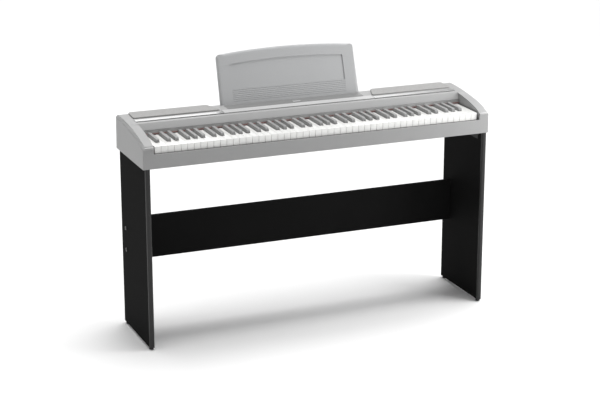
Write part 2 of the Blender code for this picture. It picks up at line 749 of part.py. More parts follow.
def upper_case():
    """Moulded cover: deck behind the keys and a cheek at each end, in one piece."""
    bottom = BLOCK_TOP + GAP
    section = [*cheek_top_section(), (CASE_BACK, bottom)]
    case = section_bar("upper_case", section, -CHEEK_OUT, CHEEK_OUT, case_plastic)
    cut(case, helper_section("keyboard_room", keyboard_room(), -CHEEK_IN, CHEEK_IN))
    rear_low = (-CHEEK_OUT - PAST, CASE_BACK - WALL - GAP, CASE_BOTTOM)
    rear_high = (CHEEK_OUT + PAST, CASE_BACK + PAST, seam_z(CASE_BACK) + GAP)
    cut(case, helper_box("rear_relief", rear_low, rear_high))
    for side in (-1, 1):
        shape_cheek(case, side)
    add_rest_pocket(case)
    for side in (-1, 1):
        add_board_post(case, side)
        cut(case, helper(grille_mesh("grille_seat", side, GROOVE), *grille_place(-GRILLE_SUNK)))
        cut(case, helper(trim_mesh("trim_seat", side, GROOVE), *trim_place(-TRIM_SUNK)))
        hole = round_mesh("sound_hole", sound_hole_radius(), 6 * DECK_THICK, sides=SPEAKER_SIDES)
        cut(case, helper(hole, (side * speaker_x(), grille_middle_y(), CASE_TOP)))
    cut_deck(case, "shadow_groove", shadow_middle_y(), CHEEK_IN, SHADOW_WIDTH, SHADOW_DEPTH)
    middle_y = BAND_Y + TRAY_FRONT_AFTER_BAND + TRAY_DEPTH / 2
    cut_deck(case, "tray", middle_y, TRAY_HALF, TRAY_DEPTH, TRAY_SUNK, TRAY_CORNER)
    button_bore = (BUTTON_WIDTH + 2 * BUTTON_SLACK, BUTTON_DEPTH + 2 * BUTTON_SLACK, PAST)
    cut(case, helper(box_mesh("button_bore", button_bore), (BUTTON_X, button_y(), CASE_TOP)))
    return case


def cut_deck(case, name, middle_y, half_width, depth, sunk, corner=0.0):
    """Sinks a level rectangle into the deck, lying along the deck's slope there."""
    shape = box_mesh(name, (2 * half_width, depth, PAST), corner)
    place = (0, middle_y, top_z(middle_y) + PAST / 2 - sunk)
    cut(case, helper(shape, place, top_slope(middle_y)))


def shadow_middle_y():
    return BAND_Y + TRIM_AFTER_BAND - GROOVE - GAP - SHADOW_WIDTH / 2


def add_board_post(case, side):
    """Post under the deck that one end of the main board hangs from."""
    y = board_middle_y()
    length = BOARD_BELOW_DECK - GAP
    post = round_mesh("board_post", POST_RADIUS, length, sides=POST_SIDES)
    place = (side * (BOARD_HALF - POST_FROM_END), y, top_z(y) - DECK_THICK / 2 - length / 2)
    join(case, helper(post, place))


def add_rest_pocket(case):
    """Pocket under the deck that holds the foot of the music rest."""
    half = REST_BOTTOM_HALF + REST_SLACK + SLOT_WALL
    low_z = REST_Z - REST_SLACK - SLOT_WALL
    section = under_deck(WALL + 2 * GAP, REST_FRONT - REST_SLACK - 2 * SLOT_WALL)
    section = [(section[0][0], low_z), *section, (section[-1][0], low_z)]
    join(case, helper_section("rest_pocket", section, -half, half))
    size = (
        2 * (REST_BOTTOM_HALF + REST_SLACK),
        REST_THICK + 2 * REST_SLACK,
        REST_IN_SLOT + REST_SLACK + PAST,
    )
    slot = box_mesh("rest_slot", size)
    slot.transform(Matrix.Translation((0, REST_THICK / 2, size[2] / 2 - REST_SLACK)))
    cut(case, helper(slot, (0, REST_FRONT, REST_Z), -REST_LEAN))


def grille_front():
    return BAND_Y + TRIM_AFTER_BAND + TRIM_DEPTH + GRILLE_AFTER_TRIM


def grille_middle_y():
    return (grille_front() + CASE_BACK - GRILLE_BEFORE_BACK) / 2


def grille_mesh(name, side, grow=0.0):
    """Pad with one slanting end, in its own frame: y from its middle, z up from its foot."""
    front = grille_front() - grille_middle_y() - grow
    back = -front
    outer = CHEEK_IN - GRILLE_END_GAP + grow
    outline = [
        (GRILLE_INNER - grow, front),
        (outer, front),
        (outer - GRILLE_END_SLANT, back),
        (GRILLE_INNER + GRILLE_SLANT - grow, back),
    ]
    thickness = GRILLE_PROUD + GRILLE_SUNK if grow == 0 else PAST
    mesh = flat_mesh(name, [mirrored_x(outline, side)], thickness)
    shape = bmesh.new()
    shape.from_mesh(mesh)
    bmesh.ops.dissolve_limit(shape, angle_limit=0.01, verts=shape.verts, edges=shape.edges)
    upright = [edge for edge in shape.edges if is_upright(edge)]
    bevel(shape, upright, GRILLE_CORNER + grow, 4)
    bmesh.ops.translate(shape, vec=(0, 0, thickness / 2), verts=shape.verts)
    shape.to_mesh(mesh)
    shape.free()
    return mesh


def is_upright(edge):
    first, second = (vert.co for vert in edge.verts)
    return abs(first.x - second.x) < 1e-5 and abs(first.y - second.y) < 1e-5


def grille_place(lift):
    y = grille_middle_y()
    return (0, y, top_z(y) + lift), top_slope(y)


def grille(name, side):
    place, slope = grille_place(-GRILLE_SUNK + GAP)
    return solid(name, grille_mesh(name, side), grille_cloth, place, lean=slope)


def trim_middle_y():
    return BAND_Y + TRIM_AFTER_BAND + TRIM_DEPTH / 2


def trim_mesh(name, side, grow=0.0):
    height = TRIM_PROUD + TRIM_SUNK if grow == 0 else PAST
    half = (CHEEK_IN - TRIM_INNER) / 2 + grow
    mesh = box_mesh(name, (2 * half, TRIM_DEPTH + 2 * grow, height))
    mesh.transform(Matrix.Translation((side * (TRIM_INNER + CHEEK_IN) / 2, 0, height / 2)))
    return mesh


def trim_place(lift):
    y = trim_middle_y()
    return (0, y, top_z(y) + lift), top_slope(y)


def trim(name, side):
    place, slope = trim_place(-TRIM_SUNK + GAP)
    return solid(name, trim_mesh(name, side), silver, place, lean=slope)


def speaker_x():
    return (GRILLE_INNER + GRILLE_SLANT + CHEEK_IN) / 2


def speaker_y():
    """Under the grille's middle, or as far back as the round rear of the deck lets it."""
    return min(grille_middle_y(), CASE_BACK - BACK_ROUND - SPEAKER_RADIUS)


def sound_hole_radius():
    """The speaker's cone, as far as the grille covers it."""
    return min(SPEAKER_RADIUS, grille_middle_y() - grille_front()) - SPEAKER_RIM


def speaker(name, side):
    """Loudspeaker under the deck: flange, basket and magnet, with a cone facing up."""
    profile = [
        (0, -CONE_DEPTH),
        (CONE_CENTRE, -CONE_DEPTH),
        (SPEAKER_RADIUS - CONE_RIM, -3 * GAP),
        (SPEAKER_RADIUS - SPEAKER_RIM, 0),
        (SPEAKER_RADIUS, 0),
        (SPEAKER_RADIUS, -SPEAKER_FLANGE),
        (SPEAKER_RADIUS - SPEAKER_RIM, -SPEAKER_FLANGE),
        (MAGNET_RADIUS, -BASKET_DEPTH),
        (MAGNET_RADIUS, -SPEAKER_DEPTH),
        (0, -SPEAKER_DEPTH),
    ]
    y = speaker_y()
    fall = top_z(y) + SPEAKER_RADIUS * math.sin(top_slope(y)) - top_z(y + SPEAKER_RADIUS)
    place = (side * speaker_x(), y, top_z(y) - DECK_THICK - fall - 2 * GAP)
    return turned(name, profile, black_metal, place, (top_slope(y), 0, 0), SPEAKER_SIDES)


def board_middle_y():
    return button_y() - BOARD_BEFORE_BUTTON


def board_top():
    y = board_middle_y()
    return top_z(y) - DECK_THICK / 2 - BOARD_BELOW_DECK


def main_board():
    """Circuit board under the deck, with the power switch and a few chips on it."""
    y, top = board_middle_y(), board_top()
    low = (-BOARD_HALF, y - BOARD_DEPTH / 2, top - BOARD_THICK)
    board = box("main_board", low, (BOARD_HALF, y + BOARD_DEPTH / 2, top), board_green)
    switch = (BUTTON_X, SWITCH_HALF, SWITCH_HALF, SWITCH_HEIGHT)
    for x, half_x, half_y, height in (switch, *CHIPS):
        chip_y = button_y() if x == BUTTON_X else y
        low = (x - half_x, chip_y - half_y, top - BOARD_THICK / 2)
        join(board, helper_box("chip", low, (x + half_x, chip_y + half_y, top + height)))
    return board


def button_y():
    return BAND_Y + BUTTON_AFTER_BAND


def power_button():
    top = top_z(button_y()) - TRAY_SUNK + BUTTON_PROUD
    place = (BUTTON_X, button_y(), top)
    slide = empty("power_button_slide", place, whole, travel=BUTTON_TRAVEL)
    low = (BUTTON_X - BUTTON_WIDTH / 2, button_y() - BUTTON_DEPTH / 2, top - BUTTON_HEIGHT)
    high = (BUTTON_X + BUTTON_WIDTH / 2, button_y() + BUTTON_DEPTH / 2, top)
    return box("power_button", low, high, button_plastic, BUTTON_EDGE, slide)


def fallboard():
    """Dark strip that closes the gap under the band, behind the keys."""
    y = BAND_Y + FALLBOARD_BEHIND_BAND
    low = (-CHEEK_IN + GAP, y, KEY_TOP + FELT_ABOVE_KEYS + FELT_HEIGHT + GAP)
    high = (CHEEK_IN - GAP, y + FALLBOARD_THICK, BAND_BOTTOM - GAP)
    return box("fallboard", low, high, dark_plastic)


def key_felt():
    low = (-CHEEK_IN + GAP, BAND_Y - FELT_BEFORE_BAND, KEY_TOP + FELT_ABOVE_KEYS)
    back = BAND_Y + FALLBOARD_BEHIND_BAND + FALLBOARD_THICK
    high = (CHEEK_IN - GAP, back, KEY_TOP + FELT_ABOVE_KEYS + FELT_HEIGHT)
    return box("key_felt", low, high, red_felt)


def socket(name, x):
    """Round socket through the rear wall, its blind bore facing backwards."""
    profile = [
        (0, -SOCKET_BORE_DEPTH),
        (SOCKET_BORE, -SOCKET_BORE_DEPTH),
        (SOCKET_BORE, SOCKET_FLANGE_THICK),
        (SOCKET_FLANGE, SOCKET_FLANGE_THICK),
        (SOCKET_FLANGE, 0),
        (SOCKET_BODY, 0),
        (SOCKET_BODY, -SOCKET_LENGTH),
        (0, -SOCKET_LENGTH),
    ]
    place = (x, CASE_BACK + GAP, CASE_BOTTOM + SOCKET_LEVEL)
    return turned(name, profile, black_plastic, place, (-math.pi / 2, 0, 0))


# Keyboard


def folded_section(path, thickness):
    """Outline of a sheet folded along a path of square corners, the path down its middle."""

    def side(half):
        moved = []
        for i, (y, z) in enumerate(path):
            before, after = path[max(i - 1, 0)], path[min(i + 1, len(path) - 1)]
            normal_y = sum(direction(a, b)[1] for a, b in ((before, (y, z)), ((y, z), after)))
            normal_z = sum(direction(a, b)[0] for a, b in ((before, (y, z)), ((y, z), after)))
            moved.append((y + half * normal_y, z - half * normal_z))
        return moved

    return side(thickness / 2) + side(-thickness / 2)[::-1]


def direction(start, end):
    """Unit step along an axis from start to end, or nothing where they are one point."""
    return tuple((b > a) - (b < a) for a, b in zip(start, end))


def key_frame():
    """Chassis that carries the keys: front stop rail, contact rail, stepped hinge rail."""
    low = CASE_BOTTOM + WALL + GAP + CHASSIS_THICK / 2
    stop_y, contact_y = KEY_FRONT + STOP_RAIL_BACK, KEY_FRONT + CONTACT_RAIL_BACK
    hinge_y, step_y = WHITE_HINGE_Y - HINGE_RAIL_REACH, BLACK_HINGE_Y - STEP_REACH
    end_y = BLACK_HINGE_Y + HINGE_RAIL_REACH
    stop_z, contact_z, hinge_z, step_z = (
        top - CHASSIS_THICK / 2
        for top in (
            stop_rail_z(),
            contact_rail_z(),
            STRIP_BOTTOM - HINGE_BLOCK_DROP,
            BLACK_TAIL_BOTTOM - HINGE_BLOCK_DROP,
        )
    )
    path = [
        (KEY_FRONT + KEY_LIP_THICK, low),
        (stop_y, low),
        (stop_y, stop_z),
        (stop_y + STOP_RAIL_DEPTH, stop_z),
        (stop_y + STOP_RAIL_DEPTH, low),
        (contact_y, low),
        (contact_y, contact_z),
        (contact_y + CONTACT_RAIL_DEPTH, contact_z),
        (contact_y + CONTACT_RAIL_DEPTH, low),
        (hinge_y, low),
        (hinge_y, hinge_z),
        (step_y, hinge_z),
        (step_y, step_z),
        (end_y, step_z),
        (end_y, low),
        (end_y + STRIP_DEPTH, low),
    ]
    half = KEYS_HALF - CHASSIS_SIDE_GAP
    section = folded_section(path, CHASSIS_THICK)
    return section_bar("key_frame", section, -half, half, chassis_plastic)


def stop_rail_z():
    return STRIP_BOTTOM - STOP_RAIL_DROP


def contact_rail_z():
    return STRIP_BOTTOM - CONTACT_RAIL_DROP


def stop_felt():
    half = KEYS_HALF - CHASSIS_SIDE_GAP
    y, z = KEY_FRONT + STOP_RAIL_BACK, stop_rail_z() + GAP
    high = (half, y + STOP_RAIL_DEPTH, z + FELT_THICK)
    return box("stop_felt", (-half, y, z), high, red_felt)


def contact_board():
    """Long circuit board under the keys, with the rubber contact strip along it."""
    y, low = KEY_FRONT + CONTACT_RAIL_BACK, contact_rail_z() + GAP
    top, rubber = low + BOARD_THICK, STRIP_BOTTOM - CONTACT_DROP
    depth = CONTACT_RAIL_DEPTH
    section = [
        (y, low),
        (y + depth, low),
        (y + depth, top),
        (y + RUBBER_FOOT[1] * depth, top),
        (y + RUBBER_TOP[1] * depth, rubber),
        (y + RUBBER_TOP[0] * depth, rubber),
        (y + RUBBER_FOOT[0] * depth, top),
        (y, top),
    ]
    half = KEYS_HALF - 2 * CHASSIS_SIDE_GAP
    return section_bar("contact_board", section, -half, half, board_green)


def white_left(index):
    return -KEYS_HALF + index * KEY_PITCH


def has_black(joint):
    """Whether a black key stands over the joint on the left of a white key."""
    return 0 < joint < WHITE_KEYS - 1 and (joint - FIRST_C - 1) % 7 in BLACK_OFFSETS


def black_x(joint):
    return white_left(joint) + BLACK_OFFSETS[(joint - FIRST_C - 1) % 7]


def joint_outline(joint, end_y):
    """Plan of what is missing between two white keys: a slit, and room for a black key."""
    x, half = white_left(joint), KEY_SLIT / 2
    front = KEY_FRONT - PAST
    if not has_black(joint):
        return [(x - half, front), (x + half, front), (x + half, end_y), (x - half, end_y)]
    notch_y = KEY_BACK - BLACK_LENGTH - BLACK_SLACK
    middle, wide = black_x(joint), BLACK_WIDTH / 2 + BLACK_SLACK
    return [
        (x - half, front),
        (x + half, front),
        (x + half, notch_y),
        (middle + wide, notch_y),
        (middle + wide, end_y),
        (middle - wide, end_y),
        (middle - wide, notch_y),
        (x - half, notch_y),
    ]


def white_section():
    """A white key from the side: lip, playing surface, lower tail and hinge strip."""
    back = WHITE_HINGE_Y + STRIP_DEPTH / 2
    lip_back = KEY_FRONT + KEY_LIP_THICK
    return [
        (KEY_FRONT, KEY_TOP - KEY_LIP),
        (lip_back, KEY_TOP - KEY_LIP),
        (lip_back, STRIP_BOTTOM),
        (back, STRIP_BOTTOM),
        (back, STRIP_TOP),
        (BAND_Y + TAIL_STEP[1], STRIP_TOP),
        (BAND_Y + TAIL_STEP[0], KEY_TOP),
        (KEY_FRONT + KEY_EDGE, KEY_TOP),
        (KEY_FRONT, KEY_TOP - KEY_EDGE),
    ]


def white_keys(name, first, last, hinge, in_strip=True):
    """White keys first to last, in one moulding on a strip, or one key on its own."""
    side_gap = KEY_SLIT / 2
    low, high = white_left(first) + side_gap, white_left(last + 1) - side_gap
    keys = section_bar(name, white_section(), low, high, key_white, hinge)
    end_y = WHITE_HINGE_Y - STRIP_DEPTH / 2 - STRIP_BEFORE_SLIT
    if not in_strip:
        end_y = WHITE_HINGE_Y + STRIP_DEPTH
    joints = [joint for joint in range(first, last + 2) if cuts(joint, first, last)]
    outlines = [joint_outline(joint, end_y) for joint in joints]
    if outlines:
        room = flat_mesh(f"{name}_joints", outlines, 3 * KEY_LIP)
        cut(keys, helper(room, (0, 0, KEY_TOP)))
    return keys


def cuts(joint, first, last):
    """Inner joints are slits; at the ends only the room for a black key cuts in."""
    return first < joint <= last or has_black(joint)


def black_section():
    front = KEY_BACK - BLACK_LENGTH
    top = KEY_TOP + BLACK_RISE
    back = BLACK_HINGE_Y + STRIP_DEPTH / 2 - KEY_EDGE
    room_y = WHITE_HINGE_Y - STRIP_DEPTH / 2 - BLACK_BEFORE_STRIP
    return [
        (front, STRIP_BOTTOM + BLACK_FOOT),
        (room_y - BLACK_RAMP, STRIP_BOTTOM + BLACK_FOOT),
        (room_y, BLACK_TAIL_BOTTOM),
        (back, BLACK_TAIL_BOTTOM),
        (back, BLACK_TAIL_TOP),
        (KEY_BACK + KEY_EDGE, BLACK_TAIL_TOP),
        (KEY_BACK, top),
        (front + BLACK_SLOPE, top),
        (front + BLACK_SLOPE / 3, top - BLACK_NOSE_TOP),
        (front, top - BLACK_NOSE),
    ]


def black_strip_section():
    front = BLACK_HINGE_Y - STRIP_DEPTH / 2 + KEY_EDGE
    back = BLACK_HINGE_Y + STRIP_DEPTH / 2 - KEY_EDGE
    return [
        (front, BLACK_TAIL_BOTTOM),
        (back, BLACK_TAIL_BOTTOM),
        (back, BLACK_TAIL_TOP),
        (front, BLACK_TAIL_TOP),
    ]


def black_keys(name, joints, hinge):
    """Black keys over the given joints, in one moulding on a strip, or one on its own."""
    half = BLACK_WIDTH / 2
    if len(joints) == 1:
        x = black_x(joints[0])
        return section_bar(name, black_section(), x - half, x + half, key_black, hinge)
    low, high = black_x(joints[0]) - half, black_x(joints[-1]) + half
    keys = section_bar(name, black_strip_section(), low, high, key_black, hinge)
    for joint in joints:
        x = black_x(joint)
        join(keys, helper_section(f"{name}_key", black_section(), x - half, x + half))
    return keys


def key_sets():
    """(name, first white, last white) of the groups that are moulded together."""
    c4 = FIRST_C + 3 * 7
    yield "bass", 0, FIRST_C + 6
    yield "tenor", FIRST_C + 7, c4 - 1
    yield "alto", c4 + 7, c4 + 20
    yield "treble", c4 + 21, WHITE_KEYS - 1


def keyboard():
    white_line = (0, WHITE_HINGE_Y, WHITE_HINGE_Z)
    black_line = (0, BLACK_HINGE_Y, BLACK_HINGE_Z)
    for name, first, last in key_sets():
        hinge = empty(f"{name}_white_hinge", white_line, whole, travel=KEY_TRAVEL)
        white_keys(f"{name}_white_keys", first, last, hinge)
        hinge = empty(f"{name}_black_hinge", black_line, whole, travel=KEY_TRAVEL)
        joints = [joint for joint in range(first + 1, last + 1) if has_black(joint)]
        black_keys(f"{name}_black_keys", joints, hinge)
    c4 = FIRST_C + 3 * 7
    for index, letter in enumerate("cdefgab"):
        white = c4 + index
        hinge = empty(f"key_{letter}4_hinge", white_line, whole, travel=KEY_TRAVEL)
        white_keys(f"key_{letter}4", white, white, hinge, in_strip=False)
        if index in BLACK_OFFSETS:
            name = f"key_{letter}_sharp4"
            hinge = empty(f"{name}_hinge", black_line, whole, travel=KEY_TRAVEL)
            black_keys(name, [white + 1], hinge)


# Music rest


def arched_outline(half_low, half_high, low, high, rise, steps=16):
    """Four-sided outline in (x, z) whose top edge is a shallow arc."""
    radius = (half_high**2 + rise**2) / (2 * rise)
    limit = math.asin(half_high / radius)
    outline = [(-half_low, low), (half_low, low)]
    for i in range(steps + 1):
        angle = limit - 2 * limit * i / steps
        outline.append((radius * math.sin(angle), high + rise - radius * (1 - math.cos(angle))))
    return outline


def upright_plate(name, outline, thickness, corner_round, corner_above):
    """Outline in (x, z) made a plate that starts at y = 0, its upper corners rounded."""
    mesh = flat_mesh(name, [outline], thickness)
    mesh.transform(UPRIGHT)
    mesh.transform(Matrix.Translation((0, thickness / 2, 0)))
    shape = bmesh.new()
    shape.from_mesh(mesh)
    bmesh.ops.dissolve_limit(shape, angle_limit=0.001, verts=shape.verts, edges=shape.edges)
    reach = max(abs(x) for x, z in outline if z > corner_above) - GAP
    corners = [
        edge
        for edge in shape.edges
        if all(abs(v.co.x) > reach and v.co.z > corner_above for v in edge.verts)
        and abs(edge.verts[0].co.y - edge.verts[1].co.y) > thickness / 2
    ]
    bevel(shape, corners, corner_round, 4)
    shape.to_mesh(mesh)
    shape.free()
    return mesh


def music_rest():
    """Leaning board with an arched top, a sunk field and a row of fine ribs below it."""
    place = (0, REST_FRONT, REST_Z)
    slide = empty("music_rest_slide", place, whole, -REST_LEAN, travel=REST_LIFT)
    outline = arched_outline(REST_BOTTOM_HALF, REST_TOP_HALF, 0, REST_HEIGHT, REST_ARCH)
    mesh = upright_plate("music_rest", outline, REST_THICK, REST_ROUND, REST_HEIGHT / 2)
    rest = solid("music_rest", mesh, rest_plastic, slide.location, slide)
    half = REST_TOP_HALF - FIELD_SIDE
    low, high = REST_IN_SLOT + FIELD_BOTTOM, REST_HEIGHT - FIELD_TOP
    arch = REST_ARCH * (half / REST_TOP_HALF) ** 2
    field = arched_outline(half, half, low, high, arch)
    field_mesh = upright_plate("rest_field", field, PAST, FIELD_CORNER, (low + high) / 2)
    field_mesh.transform(Matrix.Translation((0, FIELD_SUNK - PAST, 0)))
    cut(rest, helper(field_mesh, parent=slide))
    for i in range(RIB_COUNT):
        z = low - (i + 1) * RIB_PITCH + RIB_WIDTH
        rib_low = (-half, -PAST, z - RIB_WIDTH / 2)
        cut(rest, helper_box("rest_rib", rib_low, (half, RIB_SUNK, z + RIB_WIDTH / 2), slide))
    return rest


def build():
    stand_side("stand_side_left", -1)
    stand_side("stand_side_right", 1)
    cross_board()
    for side, side_name in ((-1, "left"), (1, "right")):
        for height, height_name in zip(bolt_heights(), ("low", "high")):
            connector_bolt(f"bolt_{side_name}_{height_name}", side, height)
            barrel_nut(f"barrel_nut_{side_name}_{height_name}", side, height)
        for y, depth_name in zip(glide_depths(), ("front", "rear")):
            glide(f"glide_{side_name}_{depth_name}", side, y)
        bracket(f"bracket_{side_name}", side)
        for y, depth_name in zip(screw_depths(), ("front", "rear")):
            thumb_screw(f"thumb_screw_{side_name}_{depth_name}", side, y)
        grille(f"grille_{side_name}", side)
        trim(f"trim_{side_name}", side)
        speaker(f"speaker_{side_name}", side)
    lower_case()
    upper_case()
    fallboard()
    key_felt()
    key_frame()
    stop_felt()
    contact_board()
    main_board()
    power_button()
    for name, x in SOCKET_X.items():
        socket(name, x)
    keyboard()
    music_rest()


clear_scene()
parts = new_collection("digital_piano_on_stand")
cutters = new_collection("cutters")
whole = empty("piano_on_stand", (0, -FOOTPRINT_MIDDLE, 0))
laminate = material("black_laminate", (0.012, 0.012, 0.013), 0.38)
steel = material("dark_steel", (0.05, 0.05, 0.055), 0.35, 1.0)
black_plastic = material("black_plastic", (0.02, 0.02, 0.02), 0.5)
black_metal = material("black_metal", (0.03, 0.03, 0.03), 0.45, 0.6)
case_plastic = material("case_plastic", (0.40, 0.40, 0.41), 0.42)
dark_plastic = material("dark_plastic", (0.22, 0.22, 0.22), 0.55)
chassis_plastic = material("chassis_plastic", (0.10, 0.10, 0.10), 0.6)
silver = material("silver_trim", (0.80, 0.80, 0.81), 0.22, 0.9)
grille_cloth = material("grille_cloth", (0.38, 0.37, 0.37), 0.85)
button_plastic = material("button_plastic", (0.60, 0.60, 0.60), 0.4)
board_green = material("circuit_board", (0.03, 0.14, 0.06), 0.5)
red_felt = material("red_felt", (0.35, 0.03, 0.03), 0.95)
key_white = material("white_key", (0.87, 0.87, 0.85), 0.18)
key_black = material("black_key", (0.22, 0.22, 0.22), 0.35)
rest_plastic = material("rest_plastic", (0.36, 0.37, 0.38), 0.45)
build()
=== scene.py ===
import math

import bmesh
import bpy
from mathutils import Matrix, Vector
from mathutils.bvhtree import BVHTree


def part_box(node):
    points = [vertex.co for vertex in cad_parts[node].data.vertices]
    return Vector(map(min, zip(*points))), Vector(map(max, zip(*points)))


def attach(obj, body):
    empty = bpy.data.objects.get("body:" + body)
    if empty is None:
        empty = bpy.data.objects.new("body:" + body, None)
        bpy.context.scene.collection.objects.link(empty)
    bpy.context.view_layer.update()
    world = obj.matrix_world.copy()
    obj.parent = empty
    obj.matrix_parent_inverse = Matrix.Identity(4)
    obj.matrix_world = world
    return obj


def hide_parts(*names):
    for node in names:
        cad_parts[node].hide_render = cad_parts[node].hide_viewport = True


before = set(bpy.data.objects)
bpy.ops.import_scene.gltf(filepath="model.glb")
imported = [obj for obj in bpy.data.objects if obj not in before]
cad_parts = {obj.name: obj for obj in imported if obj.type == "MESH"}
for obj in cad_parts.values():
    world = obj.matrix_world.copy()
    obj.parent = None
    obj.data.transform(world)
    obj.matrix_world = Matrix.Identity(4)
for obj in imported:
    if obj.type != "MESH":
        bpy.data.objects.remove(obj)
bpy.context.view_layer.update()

# ---------------------------------------------------------------------------
# Camera. A long lens, level from side to side, well back from the piano on its
# bass side and above it, so that the keyboard's depth is squeezed.

camera = bpy.data.objects.new("camera", bpy.data.cameras.new("camera"))
bpy.context.scene.collection.objects.link(camera)
bpy.context.scene.camera = camera
camera.data.lens = 103.5
camera.data.clip_end = 60
camera.location = (-2.2965, -5.5282, 2.2504)
camera.rotation_euler = (math.radians(90 - 17.0), 0, math.radians(-22.46))

# ---------------------------------------------------------------------------
# Studio. A white floor that runs out to a white room, one very wide soft light
# overhead, a soft box close to the treble end and weak ones on the bass side and
# behind. None is coloured.

STUDIO_WHITE = 0.82
FLOOR_MOTTLE = 0.012
FLOOR_HALF = 40
FLOOR_DROP = 0.0002
ROOM_LIGHT = 0.20
OVERHEAD_STRENGTH = 3.4
OVERHEAD_SPREAD = math.radians(48)
OVERHEAD_FROM = (0.14, 0.12, 1.0)
SOFT_BOXES = {
    # name: (place, aim, width, depth, watts)
    "treble_side": ((1.5, -0.8, 0.95), (0.6, -0.15, 0.65), 0.9, 0.9, 17),
    "bass_side": ((-2.6, 0.1, 1.1), (-0.6, 0, 0.6), 1.2, 1.2, 8),
    "behind": ((0.8, 3.6, 2.6), (0, 0, 0.5), 3.0, 1.6, 25),
}


def hung_light(name, lamp, place, aim):
    """Puts a light in the studio, turned from its place towards its aim."""
    light = bpy.data.objects.new(name, lamp)
    bpy.context.scene.collection.objects.link(light)
    light.location = place
    light.rotation_mode = "QUATERNION"
    towards = Vector(aim) - Vector(place)
    light.rotation_quaternion = towards.to_track_quat("-Z", "Y")
    light.visible_camera = False


overhead = bpy.data.lights.new("overhead", "SUN")
overhead.energy = OVERHEAD_STRENGTH
overhead.angle = OVERHEAD_SPREAD
hung_light("overhead", overhead, OVERHEAD_FROM, (0, 0, 0))

for box_name, (place, aim, width, depth, watts) in SOFT_BOXES.items():
    soft_box = bpy.data.lights.new(box_name, "AREA")
    soft_box.shape = "RECTANGLE"
    soft_box.size, soft_box.size_y = width, depth
    soft_box.energy = watts
    hung_light(box_name, soft_box, place, aim)

room = bpy.data.worlds.new("white room")
room.use_nodes = True
room_light = room.node_tree.nodes["Background"].inputs
room_light["Color"].default_value = (1, 1, 1, 1)
room_light["Strength"].default_value = ROOM_LIGHT
bpy.context.scene.world = room
bpy.context.scene.view_settings.view_transform = "Standard"


class Wire:
    """A value inside a finish's node tree. Arithmetic on it adds Math nodes."""

    def __init__(self, socket):
        self.socket = socket

    def node(self, kind, settings, inputs, output=0):
        """Any other node: its type, its settings, and its sockets' values or wires."""
        made = self.socket.id_data.nodes.new("ShaderNode" + kind)
        for setting, value in settings.items():
            setattr(made, setting, value)
        for socket, value in inputs.items():
            feed(made.inputs[socket], value)
        return Wire(made.outputs[output])

    def maths(self, operation, first, second=0.0):
        return self.node("Math", {"operation": operation}, {0: first, 1: second})

    def __add__(self, other):
        return self.maths("ADD", self, other)

    def __sub__(self, other):
        return self.maths("SUBTRACT", self, other)

    def __rsub__(self, other):
        return self.maths("SUBTRACT", other, self)

    def __mul__(self, other):
        return self.maths("MULTIPLY", self, other)

    __radd__ = __add__
    __rmul__ = __mul__

    def between(self, low, high):
        """0 below low, 1 above high, and a smooth step from one to the other."""
        settings = {"interpolation_type": "SMOOTHSTEP"}
        inputs = {"Value": self, "From Min": low, "From Max": high}
        return self.node("MapRange", settings, inputs)

    def grain(self, scale, detail=2.0, rough=0.5):
        """Noise on a place, of about 1 / scale metres."""
        inputs = {"Vector": self, "Scale": scale, "Detail": detail, "Roughness": rough}
        return self.node("TexNoise", {}, inputs)

    def stretched(self, x, y, z):
        """A place with its three axes scaled."""
        factors = {0: self, 1: (x, y, z)}
        return self.node("VectorMath", {"operation": "MULTIPLY"}, factors)

    def blend(self, first, second):
        """The first colour where this is 0 and the second where it is 1."""
        colours = {0: self, 6: first, 7: second}
        return self.node("Mix", {"data_type": "RGBA"}, colours, 2)

    def mark(self, name):
        """A value that the shape's own points carry, such as its worn crests."""
        return self.node("Attribute", {"attribute_name": name}, {}, 2)

    def bumps(self, height):
        """A normal for bumps of that many metres."""
        return self.node("Bump", {}, {"Height": self, "Distance": height})


def feed(socket, value):
    """Links a wire to a socket, or sets the socket's own value."""
    if isinstance(value, Wire):
        socket.id_data.links.new(value.socket, socket)
    elif isinstance(value, tuple) and len(socket.default_value) == 4:
        socket.default_value = (*value, 1.0)
    else:
        socket.default_value = value


def grey(level, warmth=0.0):
    """A near-neutral colour, a little redder than it is blue."""
    return (level * (1 + warmth), level, level * (1 - warmth))


def start_finish(name, **constants):
    """A material with these values all over, its sockets, and a point's place."""
    finish = bpy.data.materials.new(name)
    finish.use_nodes = True
    shader = finish.node_tree.nodes["Principled BSDF"]
    for socket, value in constants.items():
        feed(shader.inputs[socket.replace("_", " ")], value)
    place = finish.node_tree.nodes.new("ShaderNodeTexCoord")
    return finish, shader.inputs, Wire(place.outputs["Object"])


def floor_finish():
    finish, surface, place = start_finish("studio floor", Specular_IOR_Level=0.1)
    mottle = place.grain(1.5, 4)
    tone = mottle.blend(grey(STUDIO_WHITE), grey(STUDIO_WHITE - FLOOR_MOTTLE))
    feed(surface["Base Color"], tone)
    feed(surface["Roughness"], 0.8 + 0.1 * mottle)
    return finish


floor_shape = bmesh.new()
bmesh.ops.create_grid(floor_shape, x_segments=1, y_segments=1, size=FLOOR_HALF)
bmesh.ops.translate(floor_shape, vec=(0, 0, -FLOOR_DROP), verts=floor_shape.verts)
floor = bpy.data.objects.new("floor", bpy.data.meshes.new("floor"))
floor_shape.to_mesh(floor.data)
floor_shape.free()
floor.data.materials.append(floor_finish())
bpy.context.scene.collection.objects.link(floor)

# ---------------------------------------------------------------------------
# Stand sides. 18 mm chipboard faced with a near-black laminate, bored for two
# bolts. The front edge wears a thick plastic band, rounded over to both faces.

